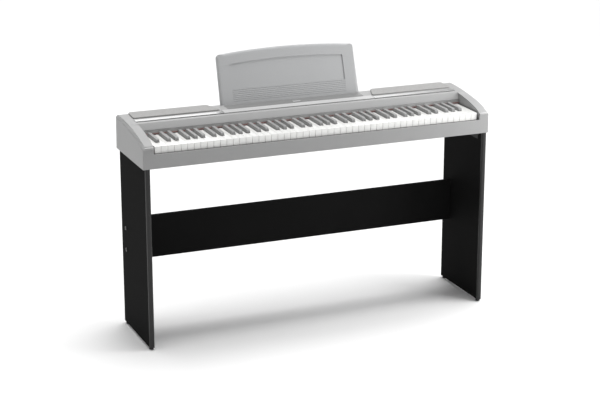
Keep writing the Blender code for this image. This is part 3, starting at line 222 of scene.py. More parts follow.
STAND_BODY = "piano_and_stand"
SIDE_NAMES = ("left", "right")
BAND_DEPTH = 0.0085
BAND_SEAM = 0.0003
BAND_ROUND = 0.0068
BAND_EDGE = 0.0004
BOARD_EDGE = 0.0006
LONG_EDGE = 0.02
SAME_POINT = 1e-6
SAME_PLANE = math.radians(0.4)


def copied(node):
    """The CAD node's solid as a clean shape: points merged, flat faces made whole."""
    shape = bmesh.new()
    shape.from_mesh(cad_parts[node].data)
    bmesh.ops.remove_doubles(shape, verts=shape.verts, dist=SAME_POINT)
    bmesh.ops.dissolve_limit(
        shape, angle_limit=SAME_PLANE, verts=shape.verts, edges=shape.edges
    )
    return shape


def sharp(shape, least=60.0, longer=0.0):
    """Edges where faces meet at over that many degrees, and longer than a length."""
    limit = math.radians(least)
    return [
        edge
        for edge in shape.edges
        if len(edge.link_faces) == 2
        and edge.calc_face_angle(0) > limit
        and edge.calc_length() > longer
    ]


def soften(shape, edges, width, segments=2):
    """Rounds edges, and marks the crest of each round, where the finish wears."""
    layers = shape.verts.layers.float
    crest = layers.get("edge_wear") or layers.new("edge_wear")
    made = bmesh.ops.bevel(
        shape,
        geom=edges,
        offset=width,
        offset_type="OFFSET",
        affect="EDGES",
        segments=segments,
        profile=0.5,
        material=-1,
        clamp_overlap=False,
    )
    fresh = set(made["faces"])
    for vert in made["verts"]:
        if all(face in fresh for face in vert.link_faces):
            vert[crest] = 1.0


def split(shape, place, normal, **settings):
    """Cuts every face where it crosses a plane."""
    whole = [*shape.verts, *shape.edges, *shape.faces]
    bmesh.ops.bisect_plane(
        shape, geom=whole, plane_co=place, plane_no=normal, **settings
    )


def block(low, high):
    """A plain block between two corners, to be shaped further."""
    low, high = Vector(low), Vector(high)
    shape = bmesh.new()
    bmesh.ops.create_cube(shape, size=1.0)
    bmesh.ops.scale(shape, vec=high - low, verts=shape.verts)
    bmesh.ops.translate(shape, vec=(low + high) / 2, verts=shape.verts)
    return shape


def fitted(name, shape, finish, slot, body, *nodes, smooth_below=40.0):
    """Makes a shape one of the piano's pieces, in place of the CAD nodes named last."""
    mesh = bpy.data.meshes.new(name)
    shape.to_mesh(mesh)
    shape.free()
    mesh.materials.append(finish)
    mesh.shade_smooth()
    mesh.set_sharp_from_angle(angle=math.radians(smooth_below))
    piece = bpy.data.objects.new(name, mesh)
    bpy.context.scene.collection.objects.link(piece)
    evened = piece.modifiers.new("even shading", "WEIGHTED_NORMAL")
    evened.keep_sharp = True
    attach(piece, body)
    if nodes:
        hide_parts(*nodes)


def worn_edges(place, scale):
    """How rubbed the crest of a rounded edge is, in patches along it."""
    return place.mark("edge_wear") * place.grain(scale, 3).between(0.45, 0.75)


def laminate_finish(black=0.0085, sheen=0.6):
    """Near-black laminate: a fine pressed pore, faint scuffs and rubbed corners."""
    finish, surface, place = start_finish("black laminate", Specular_IOR_Level=0.012)
    pore = place.stretched(1, 1, 0.25).grain(1400, 2)
    cloud = place.grain(7, 4)
    scuff = place.stretched(1, 1, 4).grain(45, 5, 0.7).between(0.66, 0.78)
    wear = worn_edges(place, 60)
    tone = cloud.blend(grey(black), grey(1.35 * black))
    tone = (0.2 * scuff + 0.6 * wear).blend(tone, grey(5 * black))
    feed(surface["Base Color"], tone)
    feed(surface["Roughness"], sheen + 0.10 * pore + 0.06 * cloud - 0.08 * scuff)
    feed(surface["Normal"], pore.bumps(0.00004))
    return finish


def band_finish():
    """Plastic edge band, a shade lighter and shinier than the board it is glued to."""
    finish, surface, place = start_finish("edge band", Specular_IOR_Level=0.4)
    streak = place.stretched(1, 1, 0.02).grain(900, 3)
    wear = worn_edges(place, 40)
    tone = streak.blend(grey(0.011), grey(0.017))
    feed(surface["Base Color"], (0.5 * wear).blend(tone, grey(0.09)))
    feed(surface["Roughness"], 0.36 + 0.14 * streak)
    feed(surface["Normal"], streak.bumps(0.00002))
    return finish


board_laminate = laminate_finish()
edge_band = band_finish()

for side_name in SIDE_NAMES:
    node = f"stand_side_{side_name}"
    low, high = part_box(node)
    board = copied(node)
    seam = (0, low.y + BAND_DEPTH + BAND_SEAM, 0)
    split(board, seam, (0, -1, 0), clear_outer=True)
    rim = [edge for edge in board.edges if edge.is_boundary]
    bmesh.ops.holes_fill(board, edges=rim)
    soften(board, sharp(board, longer=LONG_EDGE), BOARD_EDGE)
    fitted(node + "_board", board, board_laminate, "black_laminate", STAND_BODY, node)

    band = block(low, (high.x, low.y + BAND_DEPTH, high.z))
    front = [
        edge
        for edge in band.edges
        if all(vert.co.y < low.y + BAND_SEAM for vert in edge.verts)
        and edge.calc_length() > LONG_EDGE
    ]
    soften(band, front, BAND_ROUND, 6)
    soften(band, sharp(band), BAND_EDGE)
    fitted(node + "_edge_band", band, edge_band, "black_laminate", STAND_BODY, node)

# ---------------------------------------------------------------------------
# Glides. Turned hard plastic feet with a ring groove, tapped into the lower edge
# of each side board, so that the board's bare edge stays off the floor.

GLIDE_FOOT = 0.008
GLIDE_PIN = 0.002
GLIDE_GROOVE = 0.0006


def spun(profile, centre, steps=32, axis="Z"):
    """A turned piece from (radius, height) points that start and end on its axis."""
    shape = bmesh.new()
    points = [shape.verts.new((radius, 0, height)) for radius, height in profile]
    line = [shape.edges.new(pair) for pair in zip(points, points[1:])]
    bmesh.ops.spin(
        shape,
        geom=[*points, *line],
        axis=(0, 0, 1),
        cent=(0, 0, 0),
        steps=steps,
        angle=2 * math.pi,
        use_merge=True,
    )
    bmesh.ops.remove_doubles(shape, verts=shape.verts, dist=SAME_POINT)
    bmesh.ops.recalc_face_normals(shape, faces=shape.faces)
    turn = {
        "Z": Matrix.Identity(4),
        "X": Matrix.Rotation(math.pi / 2, 4, "Y"),
        "-X": Matrix.Rotation(-math.pi / 2, 4, "Y"),
        "Y": Matrix.Rotation(-math.pi / 2, 4, "X"),
    }[axis]
    turn = Matrix.Translation(centre) @ turn
    bmesh.ops.transform(shape, matrix=turn, verts=shape.verts)
    return shape


def hard_plastic_finish(name, level, sheen):
    """Moulded black plastic with a fine spark-eroded grain and dusty rubs."""
    finish, surface, place = start_finish(name, Specular_IOR_Level=0.4)
    pebble = place.grain(2600, 2)
    rub = place.grain(120, 4).between(0.55, 0.75)
    feed(surface["Base Color"], (0.4 * rub).blend(grey(level), grey(2.2 * level)))
    feed(surface["Roughness"], sheen + 0.15 * pebble)
    feed(surface["Normal"], pebble.bumps(0.00003))
    return finish


black_plastic = hard_plastic_finish("black plastic", 0.02, 0.4)

for side_name in SIDE_NAMES:
    for end_name in ("front", "rear"):
        node = f"glide_{side_name}_{end_name}"
        low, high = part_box(node)
        radius = (high.x - low.x) / 2
        profile = [
            (0, 0),
            (radius - 0.0022, 0),
            (radius - 0.0010, 0.0004),
            (radius, 0.0016),
            (radius, 0.0040),
            (radius - GLIDE_GROOVE, 0.0044),
            (radius - GLIDE_GROOVE, 0.0050),
            (radius, 0.0054),
            (radius, GLIDE_FOOT - 0.0006),
            (radius - 0.0006, GLIDE_FOOT),
            (GLIDE_PIN, GLIDE_FOOT),
            (GLIDE_PIN, high.z - GLIDE_PIN),
            (0, high.z),
        ]
        foot = spun(profile, ((low.x + high.x) / 2, (low.y + high.y) / 2, 0))
        fitted(node + "_foot", foot, black_plastic, "black_plastic", STAND_BODY, node)

# ---------------------------------------------------------------------------
# Cross board. The same laminated board, set back between the sides, with its
# long edges banded and two cross holes near each end for the barrel nuts.

CROSS_EDGE = 0.0005
CROSS_SHORTEST_EDGE = 0.002

cross = copied("cross_board")
soften(cross, sharp(cross, longer=CROSS_SHORTEST_EDGE), CROSS_EDGE)
fitted(
    "cross_board_panel", cross, board_laminate, "black_laminate", STAND_BODY, "cross_board"
)

# ---------------------------------------------------------------------------
# Bolts and barrel nuts. Black-zinced steel: flat heads with a round drive socket
# outside each board, and round nuts with a dished end in the cross board.

SOCKET_RADIUS = 0.0025
SOCKET_DEEP = 0.0017
SHANK_RADIUS = 0.0034
HEAD_THICK = 0.0025
TIP_CHAMFER = 0.001
NUT_EDGE = 0.0005
DISH_RADIUS, DISH_DEEP = 0.0030, 0.001


def zinc_finish(name, level, sheen):
    """Plated steel with turning marks and bright scratches."""
    finish, surface, place = start_finish(name, Metallic=1.0)
    mark = place.grain(3000, 2)
    scratch = place.stretched(6, 1, 1).grain(220, 5, 0.7).between(0.62, 0.72)
    wear = worn_edges(place, 300)
    tone = (0.5 * scratch + 0.5 * wear).blend(grey(level), grey(4 * level))
    feed(surface["Base Color"], tone)
    feed(surface["Roughness"], sheen + 0.12 * mark)
    feed(surface["Normal"], mark.bumps(0.00001))
    return finish


black_zinc = zinc_finish("black zinc", 0.05, 0.3)

for side_name, axis in zip(SIDE_NAMES, ("-X", "X")):
    for height_name in ("low", "high"):
        node = f"bolt_{side_name}_{height_name}"
        low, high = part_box(node)
        head = (high.y - low.y) / 2
        length = high.x - low.x
        profile = [
            (0, length - SOCKET_DEEP),
            (SOCKET_RADIUS, length - SOCKET_DEEP),
            (SOCKET_RADIUS, length - 0.0002),
            (SOCKET_RADIUS + 0.0002, length),
            (head - 0.0014, length),
            (head - 0.0005, length - 0.0003),
            (head, length - 0.0011),
            (head, length - HEAD_THICK),
            (SHANK_RADIUS, length - HEAD_THICK),
            (SHANK_RADIUS, TIP_CHAMFER),
            (SHANK_RADIUS - 0.0008, 0),
            (0, 0),
        ]
        far = low.x if axis == "X" else high.x
        tip = (far, (low.y + high.y) / 2, (low.z + high.z) / 2)
        bolt = spun(profile, tip, 36, axis)
        fitted(node + "_screw", bolt, black_zinc, "dark_steel", STAND_BODY, node)

        node = f"barrel_nut_{side_name}_{height_name}"
        low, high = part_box(node)
        radius, centre = (high.x - low.x) / 2, (low + high) / 2
        length = high.y - low.y
        profile = [
            (0, length - DISH_DEEP),
            (DISH_RADIUS, length - DISH_DEEP),
            (DISH_RADIUS + 0.0004, length - 0.0002),
            (radius - NUT_EDGE, length),
            (radius, length - NUT_EDGE),
            (radius, NUT_EDGE),
            (radius - NUT_EDGE, 0),
            (0, 0),
        ]
        nut = spun(profile, (centre.x, low.y, centre.z), 28, "Y")
        fitted(node + "_body", nut, black_zinc, "dark_steel", STAND_BODY, node)

# ---------------------------------------------------------------------------
# Brackets and thumb screws. Folded steel angles under the case, painted black,
# each held by two screws with wide fluted plastic heads that are turned by hand.

BRACKET_EDGE, BRACKET_SHORTEST_EDGE = 0.0004, 0.01
FLUTES = 10
FLUTE_DEPTH = 0.045  # of the head's radius, each way
KNOB_THICK = 0.008
KNOB_SHANK = 0.003
KNOB_SKIRT = 0.8  # of the head's radius, beyond which it is fluted


def painted_steel_finish(name, level):
    """Powder-coated steel: orange-peel skin, chipped along the bends."""
    finish, surface, place = start_finish(name, Specular_IOR_Level=0.1)
    peel = place.grain(700, 2)
    wear = worn_edges(place, 150)
    feed(surface["Base Color"], (0.6 * wear).blend(grey(level), grey(7 * level)))
    feed(surface["Metallic"], 0.5 * wear)
    feed(surface["Roughness"], 0.36 + 0.12 * peel)
    feed(surface["Normal"], peel.bumps(0.00006))
    return finish


black_paint = painted_steel_finish("black painted steel", 0.010)

for side_name in SIDE_NAMES:
    node = f"bracket_{side_name}"
    angle = copied(node)
    soften(angle, sharp(angle, longer=BRACKET_SHORTEST_EDGE), BRACKET_EDGE)
    fitted(node + "_angle", angle, black_paint, "dark_steel", STAND_BODY, node)
    for end_name in ("front", "rear"):
        node = f"thumb_screw_{side_name}_{end_name}"
        low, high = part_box(node)
        head, length = (high.x - low.x) / 2, high.z - low.z
        profile = [
            (0, 0.0004),
            (head * 0.5, 0),
            (head - 0.0015, 0),
            (head, 0.0015),
            (head, KNOB_THICK - 0.001),
            (head - 0.001, KNOB_THICK),
            (KNOB_SHANK, KNOB_THICK),
            (KNOB_SHANK, length - 0.001),
            (0, length),
        ]
        centre = Vector(((low.x + high.x) / 2, (low.y + high.y) / 2, low.z))
        screw = spun(profile, centre, 4 * FLUTES)
        for vert in screw.verts:
            flat = Vector((vert.co.x - centre.x, vert.co.y - centre.y))
            if flat.length > KNOB_SKIRT * head and vert.co.z < low.z + KNOB_THICK:
                wave = math.cos(FLUTES * math.atan2(flat.y, flat.x))
                vert.co.xy = centre.xy + flat * (1 - FLUTE_DEPTH + FLUTE_DEPTH * wave)
        fitted(node + "_knob", screw, black_plastic, "black_plastic", STAND_BODY, node)

# ---------------------------------------------------------------------------
# Lower case. One grey moulding with a floor, low side and rear walls, a front
# rail under the keys and a hollow block beside each end key.

CASE_EDGE = 0.0009
CASE_SHORTEST_EDGE = 0.004
CASE_GREY = 0.37
# Factor that darkens the case grey for the lower moulding: painted shade for its front and
# side faces, which get less of the overhead light.
LOWER_PAINTED_SHADE = 0.89


def moulded_finish(name, level, sheen, grain_height=0.00005, warmth=0.0):
    """Grained plastic: pebbled skin, slow tone changes, painted shade in marked grooves,
    dust, and rubbed edges.
    """
    finish, surface, place = start_finish(name, Specular_IOR_Level=0.4)
    skin = {"Vector": place, "Scale": 1300}
    pebble = place.node("TexVoronoi", {"feature": "SMOOTH_F1"}, skin)
    fine = place.grain(2300, 2)
    cloud = place.grain(4, 3)
    dust = place.grain(160, 4, 0.6).between(0.5, 0.8)
    wear = worn_edges(place, 50)
    # Painted shade: darker where the shape's points are marked as groove floors, standing
    # for the shade inside the music rest's grooves.
    painted_groove_shade = place.mark("groove")
    tone = cloud.blend(grey(0.97 * level, warmth), grey(1.03 * level, warmth))
    tone = (0.16 * pebble).blend(tone, grey(0.72 * level, warmth))
    tone = (0.28 * painted_groove_shade).blend(tone, grey(0.5 * level, warmth))
    tone = (0.10 * dust + 0.35 * wear).blend(tone, grey(1.25 * level, warmth))
    feed(surface["Base Color"], tone)
    feed(surface["Roughness"], sheen + 0.12 * fine + 0.05 * cloud - 0.12 * wear)
    feed(surface["Normal"], (pebble + 0.4 * fine).bumps(grain_height))
    return finish


# Painted shade: the same plastic as the upper case, made darker for the lower moulding.
lower_grey = moulded_finish("lower case plastic", LOWER_PAINTED_SHADE * CASE_GREY, 0.42)
lower = copied("lower_case")
soften(lower, sharp(lower, 50, CASE_SHORTEST_EDGE), CASE_EDGE)
fitted("lower_case_moulding", lower, lower_grey, "case_plastic", STAND_BODY, "lower_case")

# ---------------------------------------------------------------------------
# Case screws. Self-tapping steel screws with low pan heads, driven up through the
# floor of the lower case to close it on the upper one.

CASE_SCREW_HEAD = 0.0034
CASE_SCREW_RISE = 0.0009
CASE_SCREW_COLUMNS = (-2.2, -1, 0, 1, 2.2)
CASE_SCREW_PITCH = 0.31  # of half the case's width
CASE_SCREW_FROM_FRONT, CASE_SCREW_FROM_BACK = 0.035, 0.030

case_low, case_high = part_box("lower_case")
screw_rows = [case_low.y + CASE_SCREW_FROM_FRONT, case_high.y - CASE_SCREW_FROM_BACK]
screw_columns = [CASE_SCREW_PITCH * case_high.x * step for step in CASE_SCREW_COLUMNS]
for row, y in enumerate(screw_rows):
    for column, x in enumerate(screw_columns):
        profile = [
            (0, -CASE_SCREW_RISE * 0.3),
            (0.0009, -CASE_SCREW_RISE * 0.3),
            (0.0012, -CASE_SCREW_RISE),
            (CASE_SCREW_HEAD * 0.7, -CASE_SCREW_RISE * 0.8),
            (CASE_SCREW_HEAD, -CASE_SCREW_RISE * 0.2),
            (CASE_SCREW_HEAD, CASE_SCREW_RISE),
            (0, CASE_SCREW_RISE),
        ]
        head = spun(profile, (x, y, case_low.z), 16)
        fitted(f"case_screw_{row}_{column}", head, black_zinc, "dark_steel", STAND_BODY)

# ---------------------------------------------------------------------------
# Chassis. A dark moulded carrier that the keys turn on, the felt strip that they
# land on and the contact board under them. All of it sits inside the case.

FELT_RED = (0.60, 0.33, 0.31)


def refinished(node, finish):
    """Gives a CAD node that keeps its own mesh a proper material."""
    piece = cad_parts[node]
    piece.data.materials.clear()
    piece.data.materials.append(finish)


chassis_dark = moulded_finish("chassis plastic", 0.09, 0.5)
refinished("key_frame", chassis_dark)


def felt_finish(colour, nap=0.0002):
    """Pressed wool felt: short crossing fibres, soft dark hollows, no shine."""
    finish, surface, place = start_finish(
        "red felt", Specular_IOR_Level=0.05, Roughness=0.95
    )
    fibre = place.stretched(1, 3, 1).grain(1800, 4, 0.7)
    crossing = place.stretched(3, 1, 1).grain(1500, 4, 0.7)
    hollow = place.grain(500, 3)
    dark = tuple(0.45 * channel for channel in colour)
    fuzz = (0.5 * fibre + 0.5 * hollow).between(0.25, 0.7)
    feed(surface["Base Color"], fuzz.blend(dark, colour))
    feed(surface["Normal"], (fibre + crossing).bumps(nap))
    return finish


red_felt = felt_finish(FELT_RED)
refinished("stop_felt", red_felt)


def circuit_finish():
    """Green lacquered board: raised tracks and tinned pads."""
    finish, surface, place = start_finish("circuit board")
    layout = {"Vector": place, "Scale": 190.0, "Mortar Size": 0.05}
    tracks = place.node("TexBrick", {"offset": 0.5}, layout, 1)
    spots = place.node("TexVoronoi", {}, {"Vector": place, "Scale": 420.0})
    pads = spots.between(0.24, 0.16)
    tone = tracks.blend((0.015, 0.11, 0.045), (0.03, 0.22, 0.08))
    feed(surface["Base Color"], pads.blend(tone, (0.55, 0.55, 0.52)))
    feed(surface["Metallic"], 0.8 * pads)
    feed(surface["Roughness"], 0.38 - 0.1 * pads)
    feed(surface["Normal"], (tracks + pads).bumps(0.00005))
    return finish


circuit_green = circuit_finish()
for node in ("contact_board", "main_board"):
    refinished(node, circuit_green)

# ---------------------------------------------------------------------------
# White keys. 52 glossy mouldings, each with a playing surface that overhangs its
# front by a millimetre, and cut away beside the black keys.

OCTAVE = 7
WHITE_COUNT = 52
MIDDLE_C = 23
RANGE_ENDS = {
    "bass": 9,
    "tenor": MIDDLE_C,
    "alto": MIDDLE_C + 3 * OCTAVE,
    "treble": WHITE_COUNT,
}
WHITE_LETTERS = "abcdefg"
BLACK_AFTER = {letter: f"{letter}_sharp" for letter in "acdfg"}
KEY_CAP = 0.0026
KEY_OVERHANG = 0.0010
KEY_ROUND = 0.00091
KEY_THICK = 0.013
KEY_FRONT_THICK = 0.006
TAIL_STEP = 0.006
TAIL_AFTER_BAND = 0.002
NOTCH_SLACK = 0.0012
NEAR = 0.0001

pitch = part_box("key_d4")[0].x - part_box("key_c4")[0].x
key_low, key_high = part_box("key_c4")
key_slit = pitch - (key_high.x - key_low.x)
keys_left = key_low.x - key_slit / 2 - MIDDLE_C * pitch
black_low, black_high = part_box("key_g_sharp4")
band_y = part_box("fallboard")[0].y


def drawn(shape, faces, vec, **settings):
    """Draws faces out of a shape by a vector."""
    made = bmesh.ops.extrude_face_region(shape, geom=faces, **settings)
    moved = [item for item in made["geom"] if isinstance(item, bmesh.types.BMVert)]
    bmesh.ops.translate(shape, vec=vec, verts=moved)


def white_name(index):
    """A white key's letter and octave, counted from the lowest key, an A."""
    return WHITE_LETTERS[index % OCTAVE], (index + 5) // OCTAVE


def key_node(index, colour, single):
    """The node a key belongs to: its range's, or its own in the middle octave."""
    if MIDDLE_C <= index < MIDDLE_C + OCTAVE:
        return single
    group = next(name for name, end in RANGE_ENDS.items() if index < end)
    return f"{group}_{colour}_keys"


def has_black_after(index):
    """Whether a black key stands between a white key and the next one up."""
    return white_name(index)[0] in BLACK_AFTER and index < WHITE_COUNT - 1


def black_middle(index):
    """Middle of the black key after a white key, as the middle octave has it."""
    low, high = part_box(f"key_{BLACK_AFTER[white_name(index)[0]]}4")
    octave_index = MIDDLE_C + (index - 2) % OCTAVE
    return (low.x + high.x) / 2 + (index - octave_index) * pitch


def white_plan(index):
    """A white key seen from above, with its notches, from its front left corner."""
    left = keys_left + index * pitch + key_slit / 2
    right = left + pitch - key_slit
    half_room = (black_high.x - black_low.x) / 2 + NOTCH_SLACK
    notch_y, back = black_low.y - NOTCH_SLACK, key_high.y
    plan = [(left, key_low.y), (right, key_low.y)]
    if has_black_after(index):
        inner = black_middle(index) - half_room
        plan += [(right, notch_y), (inner, notch_y), (inner, back)]
    else:
        plan += [(right, back)]
    if index and has_black_after(index - 1):
        inner = black_middle(index - 1) + half_room
        plan += [(inner, back), (inner, notch_y), (left, notch_y)]
    else:
        plan += [(left, back)]
    return plan


def white_key(index):
    """Its plan drawn up, its front drawn down, the cap's rim rounded."""
    top = key_high.z
    shape = bmesh.new()
    plan = [shape.verts.new((x, y, top - KEY_THICK)) for x, y in white_plan(index)]
    face = shape.faces.new(plan)
    face.normal_update()
    if face.normal.z < 0:
        face.normal_flip()
    drawn(shape, [face], (0, 0, KEY_THICK), use_keep_orig=True)
    bmesh.ops.recalc_face_normals(shape, faces=shape.faces)

    front_back = key_low.y + KEY_FRONT_THICK
    split(shape, (0, front_back, 0), (0, 1, 0))
    under_front = [
        face
        for face in shape.faces
        if face.normal.z < -0.9 and face.calc_center_median().y < front_back
    ]
    drawn(shape, under_front, (0, 0, key_low.z - top + KEY_THICK))
    bmesh.ops.delete(shape, geom=under_front, context="FACES_ONLY")

    split(shape, (0, 0, top - KEY_CAP), (0, 0, 1))
    for vert in shape.verts:
        if vert.co.z < top - KEY_CAP - NEAR and vert.co.y < key_low.y + NEAR:
            vert.co.y += KEY_OVERHANG

    tail_y = band_y + TAIL_AFTER_BAND
    split(shape, (0, tail_y, 0), (0, 1, 0))
    for vert in shape.verts:
        if vert.co.y > tail_y + NEAR and vert.co.z > top - NEAR:
            vert.co.z -= TAIL_STEP

    rim = [
        edge
        for edge in sharp(shape)
        if all(vert.co.z > top - NEAR and vert.co.y < tail_y - NEAR for vert in edge.verts)
    ]
    front_corners = [
        edge
        for edge in sharp(shape)
        if all(vert.co.y < key_low.y + 2 * KEY_OVERHANG for vert in edge.verts)
        and abs(edge.verts[0].co.z - edge.verts[1].co.z) > KEY_OVERHANG
    ]
    soften(shape, list({*rim, *front_corners}), KEY_ROUND)
    bmesh.ops.recalc_face_normals(shape, faces=shape.faces)
    return shape


def key_white_finish():
    """Glossy cast plastic, faintly cloudy, with the haze of fingers on it."""
    finish, surface, place = start_finish(
        "white key plastic", Specular_IOR_Level=0.5, Coat_Roughness=0.1
    )
    cloud = place.stretched(1, 0.3, 1).grain(30, 3)
    haze = place.grain(180, 4, 0.6).between(0.45, 0.75)
    wear = worn_edges(place, 90)
    tone = cloud.blend((0.86, 0.86, 0.84), (0.90, 0.90, 0.885))
    feed(surface["Base Color"], (0.3 * wear).blend(tone, (0.80, 0.79, 0.75)))
    feed(surface["Roughness"], 0.16 + 0.14 * haze)
    feed(surface["Coat Weight"], 0.3 - 0.2 * haze)
    feed(surface["Normal"], (cloud + 0.2 * haze).bumps(0.00003))
    return finish


white_gloss = key_white_finish()
for index in range(WHITE_COUNT):
    letter, octave = white_name(index)
    node = key_node(index, "white", f"key_{letter}4")
    key = white_key(index)
    fitted(f"white_{letter}{octave}", key, white_gloss, "white_key", node, node)

# ---------------------------------------------------------------------------
# Black keys. 36 matt grey mouldings, narrower at the top than at the foot, with a
# nose that slopes back and rounds over, and a thin tail that runs to the hinge.

BLACK_TAPER = 0.12
BLACK_ROUND = 0.0015
BLACK_BEFORE_BAND = 0.009
NOSE_SLOPE, NOSE_DROP, NOSE_STEPS = 0.0075, 0.010, 6
HEEL, HEEL_STEP = 0.004, 0.001
TAIL_TOP_DROP, TAIL_BOTTOM_DROP = 0.0105, 0.0155


def black_key(middle):
    """Side view drawn in a plane, drawn out to the key's width, tapered, rounded."""
    front, back = black_low.y, black_high.y
    foot, top = black_low.z, black_high.z
    heel = band_y - BLACK_BEFORE_BAND
    tail_top, tail_bottom = top - TAIL_TOP_DROP, top - TAIL_BOTTOM_DROP
    side_view = [
        (front, foot),
        (heel - HEEL, foot),
        (heel, tail_bottom),
        (back, tail_bottom),
        (back, tail_top),
        (heel + HEEL_STEP, tail_top),
        (heel, top),
    ]
    for step in range(NOSE_STEPS + 1):
        turn = math.pi / 2 * step / NOSE_STEPS
        y = front + NOSE_SLOPE * (1 - math.sin(turn))
        side_view.append((y, top - NOSE_DROP * (1 - math.cos(turn))))
    shape = bmesh.new()
    half = (black_high.x - black_low.x) / 2
    face = shape.faces.new([shape.verts.new((middle - half, y, z)) for y, z in side_view])
    drawn(shape, [face], (2 * half, 0, 0), use_keep_orig=True)
    bmesh.ops.recalc_face_normals(shape, faces=shape.faces)

    for vert in shape.verts:
        above = max(vert.co.z - key_high.z, 0) / (top - key_high.z)
        vert.co.x = middle + (vert.co.x - middle) * (1 - BLACK_TAPER * above)
    rim = [
        edge
        for edge in sharp(shape, 50)
        if all(
            vert.co.z > key_high.z - 2 * NEAR and vert.co.y < heel + 2 * NEAR
            for vert in edge.verts
        )
        and abs(edge.verts[0].co.x - edge.verts[1].co.x) < half
    ]
    soften(shape, rim, BLACK_ROUND, 3)
    bmesh.ops.recalc_face_normals(shape, faces=shape.faces)
    return shape


matt_black_key = moulded_finish("black key plastic", 0.29, 0.34, 0.00003)
for index in filter(has_black_after, range(WHITE_COUNT)):
    letter, octave = white_name(index)
    note = BLACK_AFTER[letter]
    node = key_node(index, "black", f"key_{note}4")
    key = black_key(black_middle(index))
    fitted(f"black_{note}{octave}", key, matt_black_key, "black_key", node, node)

# ---------------------------------------------------------------------------
# Fallboard strip and key felt. A grey strip closes the slot behind the keys, and a
# narrow line of red felt under it keeps the keys from clicking on it.

STRIP_EDGE = 0.0004
FELT_EDGE = 0.0004
FELT_STEPS = 160
FELT_WAVER = 0.0003
FELT_WAVES = (310, 97)

strip_dark = moulded_finish("fallboard plastic", 0.42, 0.5)
strip = copied("fallboard")
soften(strip, sharp(strip), STRIP_EDGE)
fitted("fallboard_strip", strip, strip_dark, "dark_plastic", STAND_BODY, "fallboard")

felt = copied("key_felt")
felt_low, felt_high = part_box("key_felt")
long_edges = [
    edge for edge in felt.edges if edge.calc_length() > (felt_high.x - felt_low.x) / 2
]
bmesh.ops.subdivide_edges(felt, edges=long_edges, cuts=FELT_STEPS, use_grid_fill=True)
for vert in felt.verts:
    if vert.co.y < felt_low.y + NEAR:
        waver = math.prod(math.sin(wave * vert.co.x) for wave in FELT_WAVES)
        vert.co.y += FELT_EDGE + FELT_WAVER * waver
soften(felt, sharp(felt), FELT_EDGE)
fitted("key_felt_strip", felt, red_felt, "red_felt", STAND_BODY, "key_felt")

# ---------------------------------------------------------------------------
# Speakers. Round drivers under the grilles: a steel basket, a black paper cone and
# the magnet at the back.


def speaker_finish():
    finish, surface, place = start_finish("speaker black", Specular_IOR_Level=0.3)
    pulp = place.grain(900, 5, 0.7)
    feed(surface["Base Color"], pulp.blend(grey(0.02), grey(0.045)))
    feed(surface["Roughness"], 0.55 + 0.2 * pulp)
    feed(surface["Normal"], pulp.bumps(0.0001))
    return finish


speaker_black = speaker_finish()
for side_name in SIDE_NAMES:
    refinished(f"speaker_{side_name}", speaker_black)

# ---------------------------------------------------------------------------
# Upper case. The grey cover: deck, front band over the keys and the two cheeks,
# moulded in one with the seats for grilles, trims, tray and music rest.

UPPER_EDGE = 0.00072

case_grey = moulded_finish("upper case plastic", CASE_GREY, 0.40)
upper = copied("upper_case")
soften(upper, sharp(upper, 50, CASE_SHORTEST_EDGE), UPPER_EDGE)
fitted("upper_case_moulding", upper, case_grey, "case_plastic", STAND_BODY, "upper_case")

# ---------------------------------------------------------------------------
# Grilles. Acoustic cloth stretched over a shallow plastic frame, rounded at the
# corners and slanted at its inner end.

GRILLE_ROUND = 0.0022
THREADS = 1100 / math.tau


def cloth_finish():
    """Plain weave in a warm grey, threads over and under, dark in the openings."""
    finish, surface, place = start_finish(
        "grille cloth", Specular_IOR_Level=0.15, Roughness=0.88
    )
    yarn = {"Vector": place, "Scale": THREADS, "Distortion": 0.6}
    warp = place.node("TexWave", {"bands_direction": "X"}, yarn)
    weft = place.node("TexWave", {"bands_direction": "Y"}, yarn)
    weave = warp * weft
    mottle = place.grain(120, 5, 0.75)
    tone = mottle.between(0.2, 0.8).blend(grey(0.34, 0.012), grey(0.42, 0.008))
    feed(surface["Base Color"], (0.4 * weave).blend(tone, grey(0.22, 0.012)))
    feed(surface["Normal"], (weave + 0.4 * mottle).bumps(0.0002))
    return finish


warm_cloth = cloth_finish()
for side_name in SIDE_NAMES:
    node = f"grille_{side_name}"
    pad = copied(node)
    top_rim = [
        edge
        for edge in sharp(pad, 50)
        if max(face.normal.z for face in edge.link_faces) > 0.9
    ]
    soften(pad, top_rim, GRILLE_ROUND, 4)
    fitted(node + "_pad", pad, warm_cloth, "grille_cloth", STAND_BODY, node)

# ---------------------------------------------------------------------------
# Trims. Bright anodised strips, brushed along their length, let into the deck in
# front of the grilles.

TRIM_EDGE = 0.0003


def brushed_finish():
    finish, surface, place = start_finish("brushed aluminium", Metallic=1.0)
    brush = place.stretched(0.02, 1, 1).grain(2600, 4, 0.7)
    smear = place.grain(25, 3)
    wear = worn_edges(place, 80)
    tone = (0.6 * brush + 0.3 * wear).blend(grey(0.56), grey(0.72))
    feed(surface["Base Color"], tone)
    feed(surface["Roughness"], 0.22 + 0.16 * brush + 0.08 * smear)
    feed(surface["Normal"], brush.bumps(0.00003))
    return finish


bright_trim = brushed_finish()
for side_name in SIDE_NAMES:
    node = f"trim_{side_name}"
    bar = copied(node)
    soften(bar, sharp(bar), TRIM_EDGE)
    fitted(node + "_strip", bar, bright_trim, "silver_trim", STAND_BODY, node)

# ---------------------------------------------------------------------------
# Centre rail. A plain light moulding that carries the line of the trims across the
# middle of the deck, clipped down between them.

RAIL_HALF = 0.2905
RAIL_PROUD, RAIL_SUNK = 0.0010, 0.0004
RAIL_FIRST_BEND, RAIL_SECOND_BEND = 0.009, 0.003
RAIL_BEHIND_TRIM = 0.0135
PLATE_EDGE = 0.0003

deck_shape = copied("upper_case")
deck = BVHTree.FromBMesh(deck_shape)
deck_shape.free()


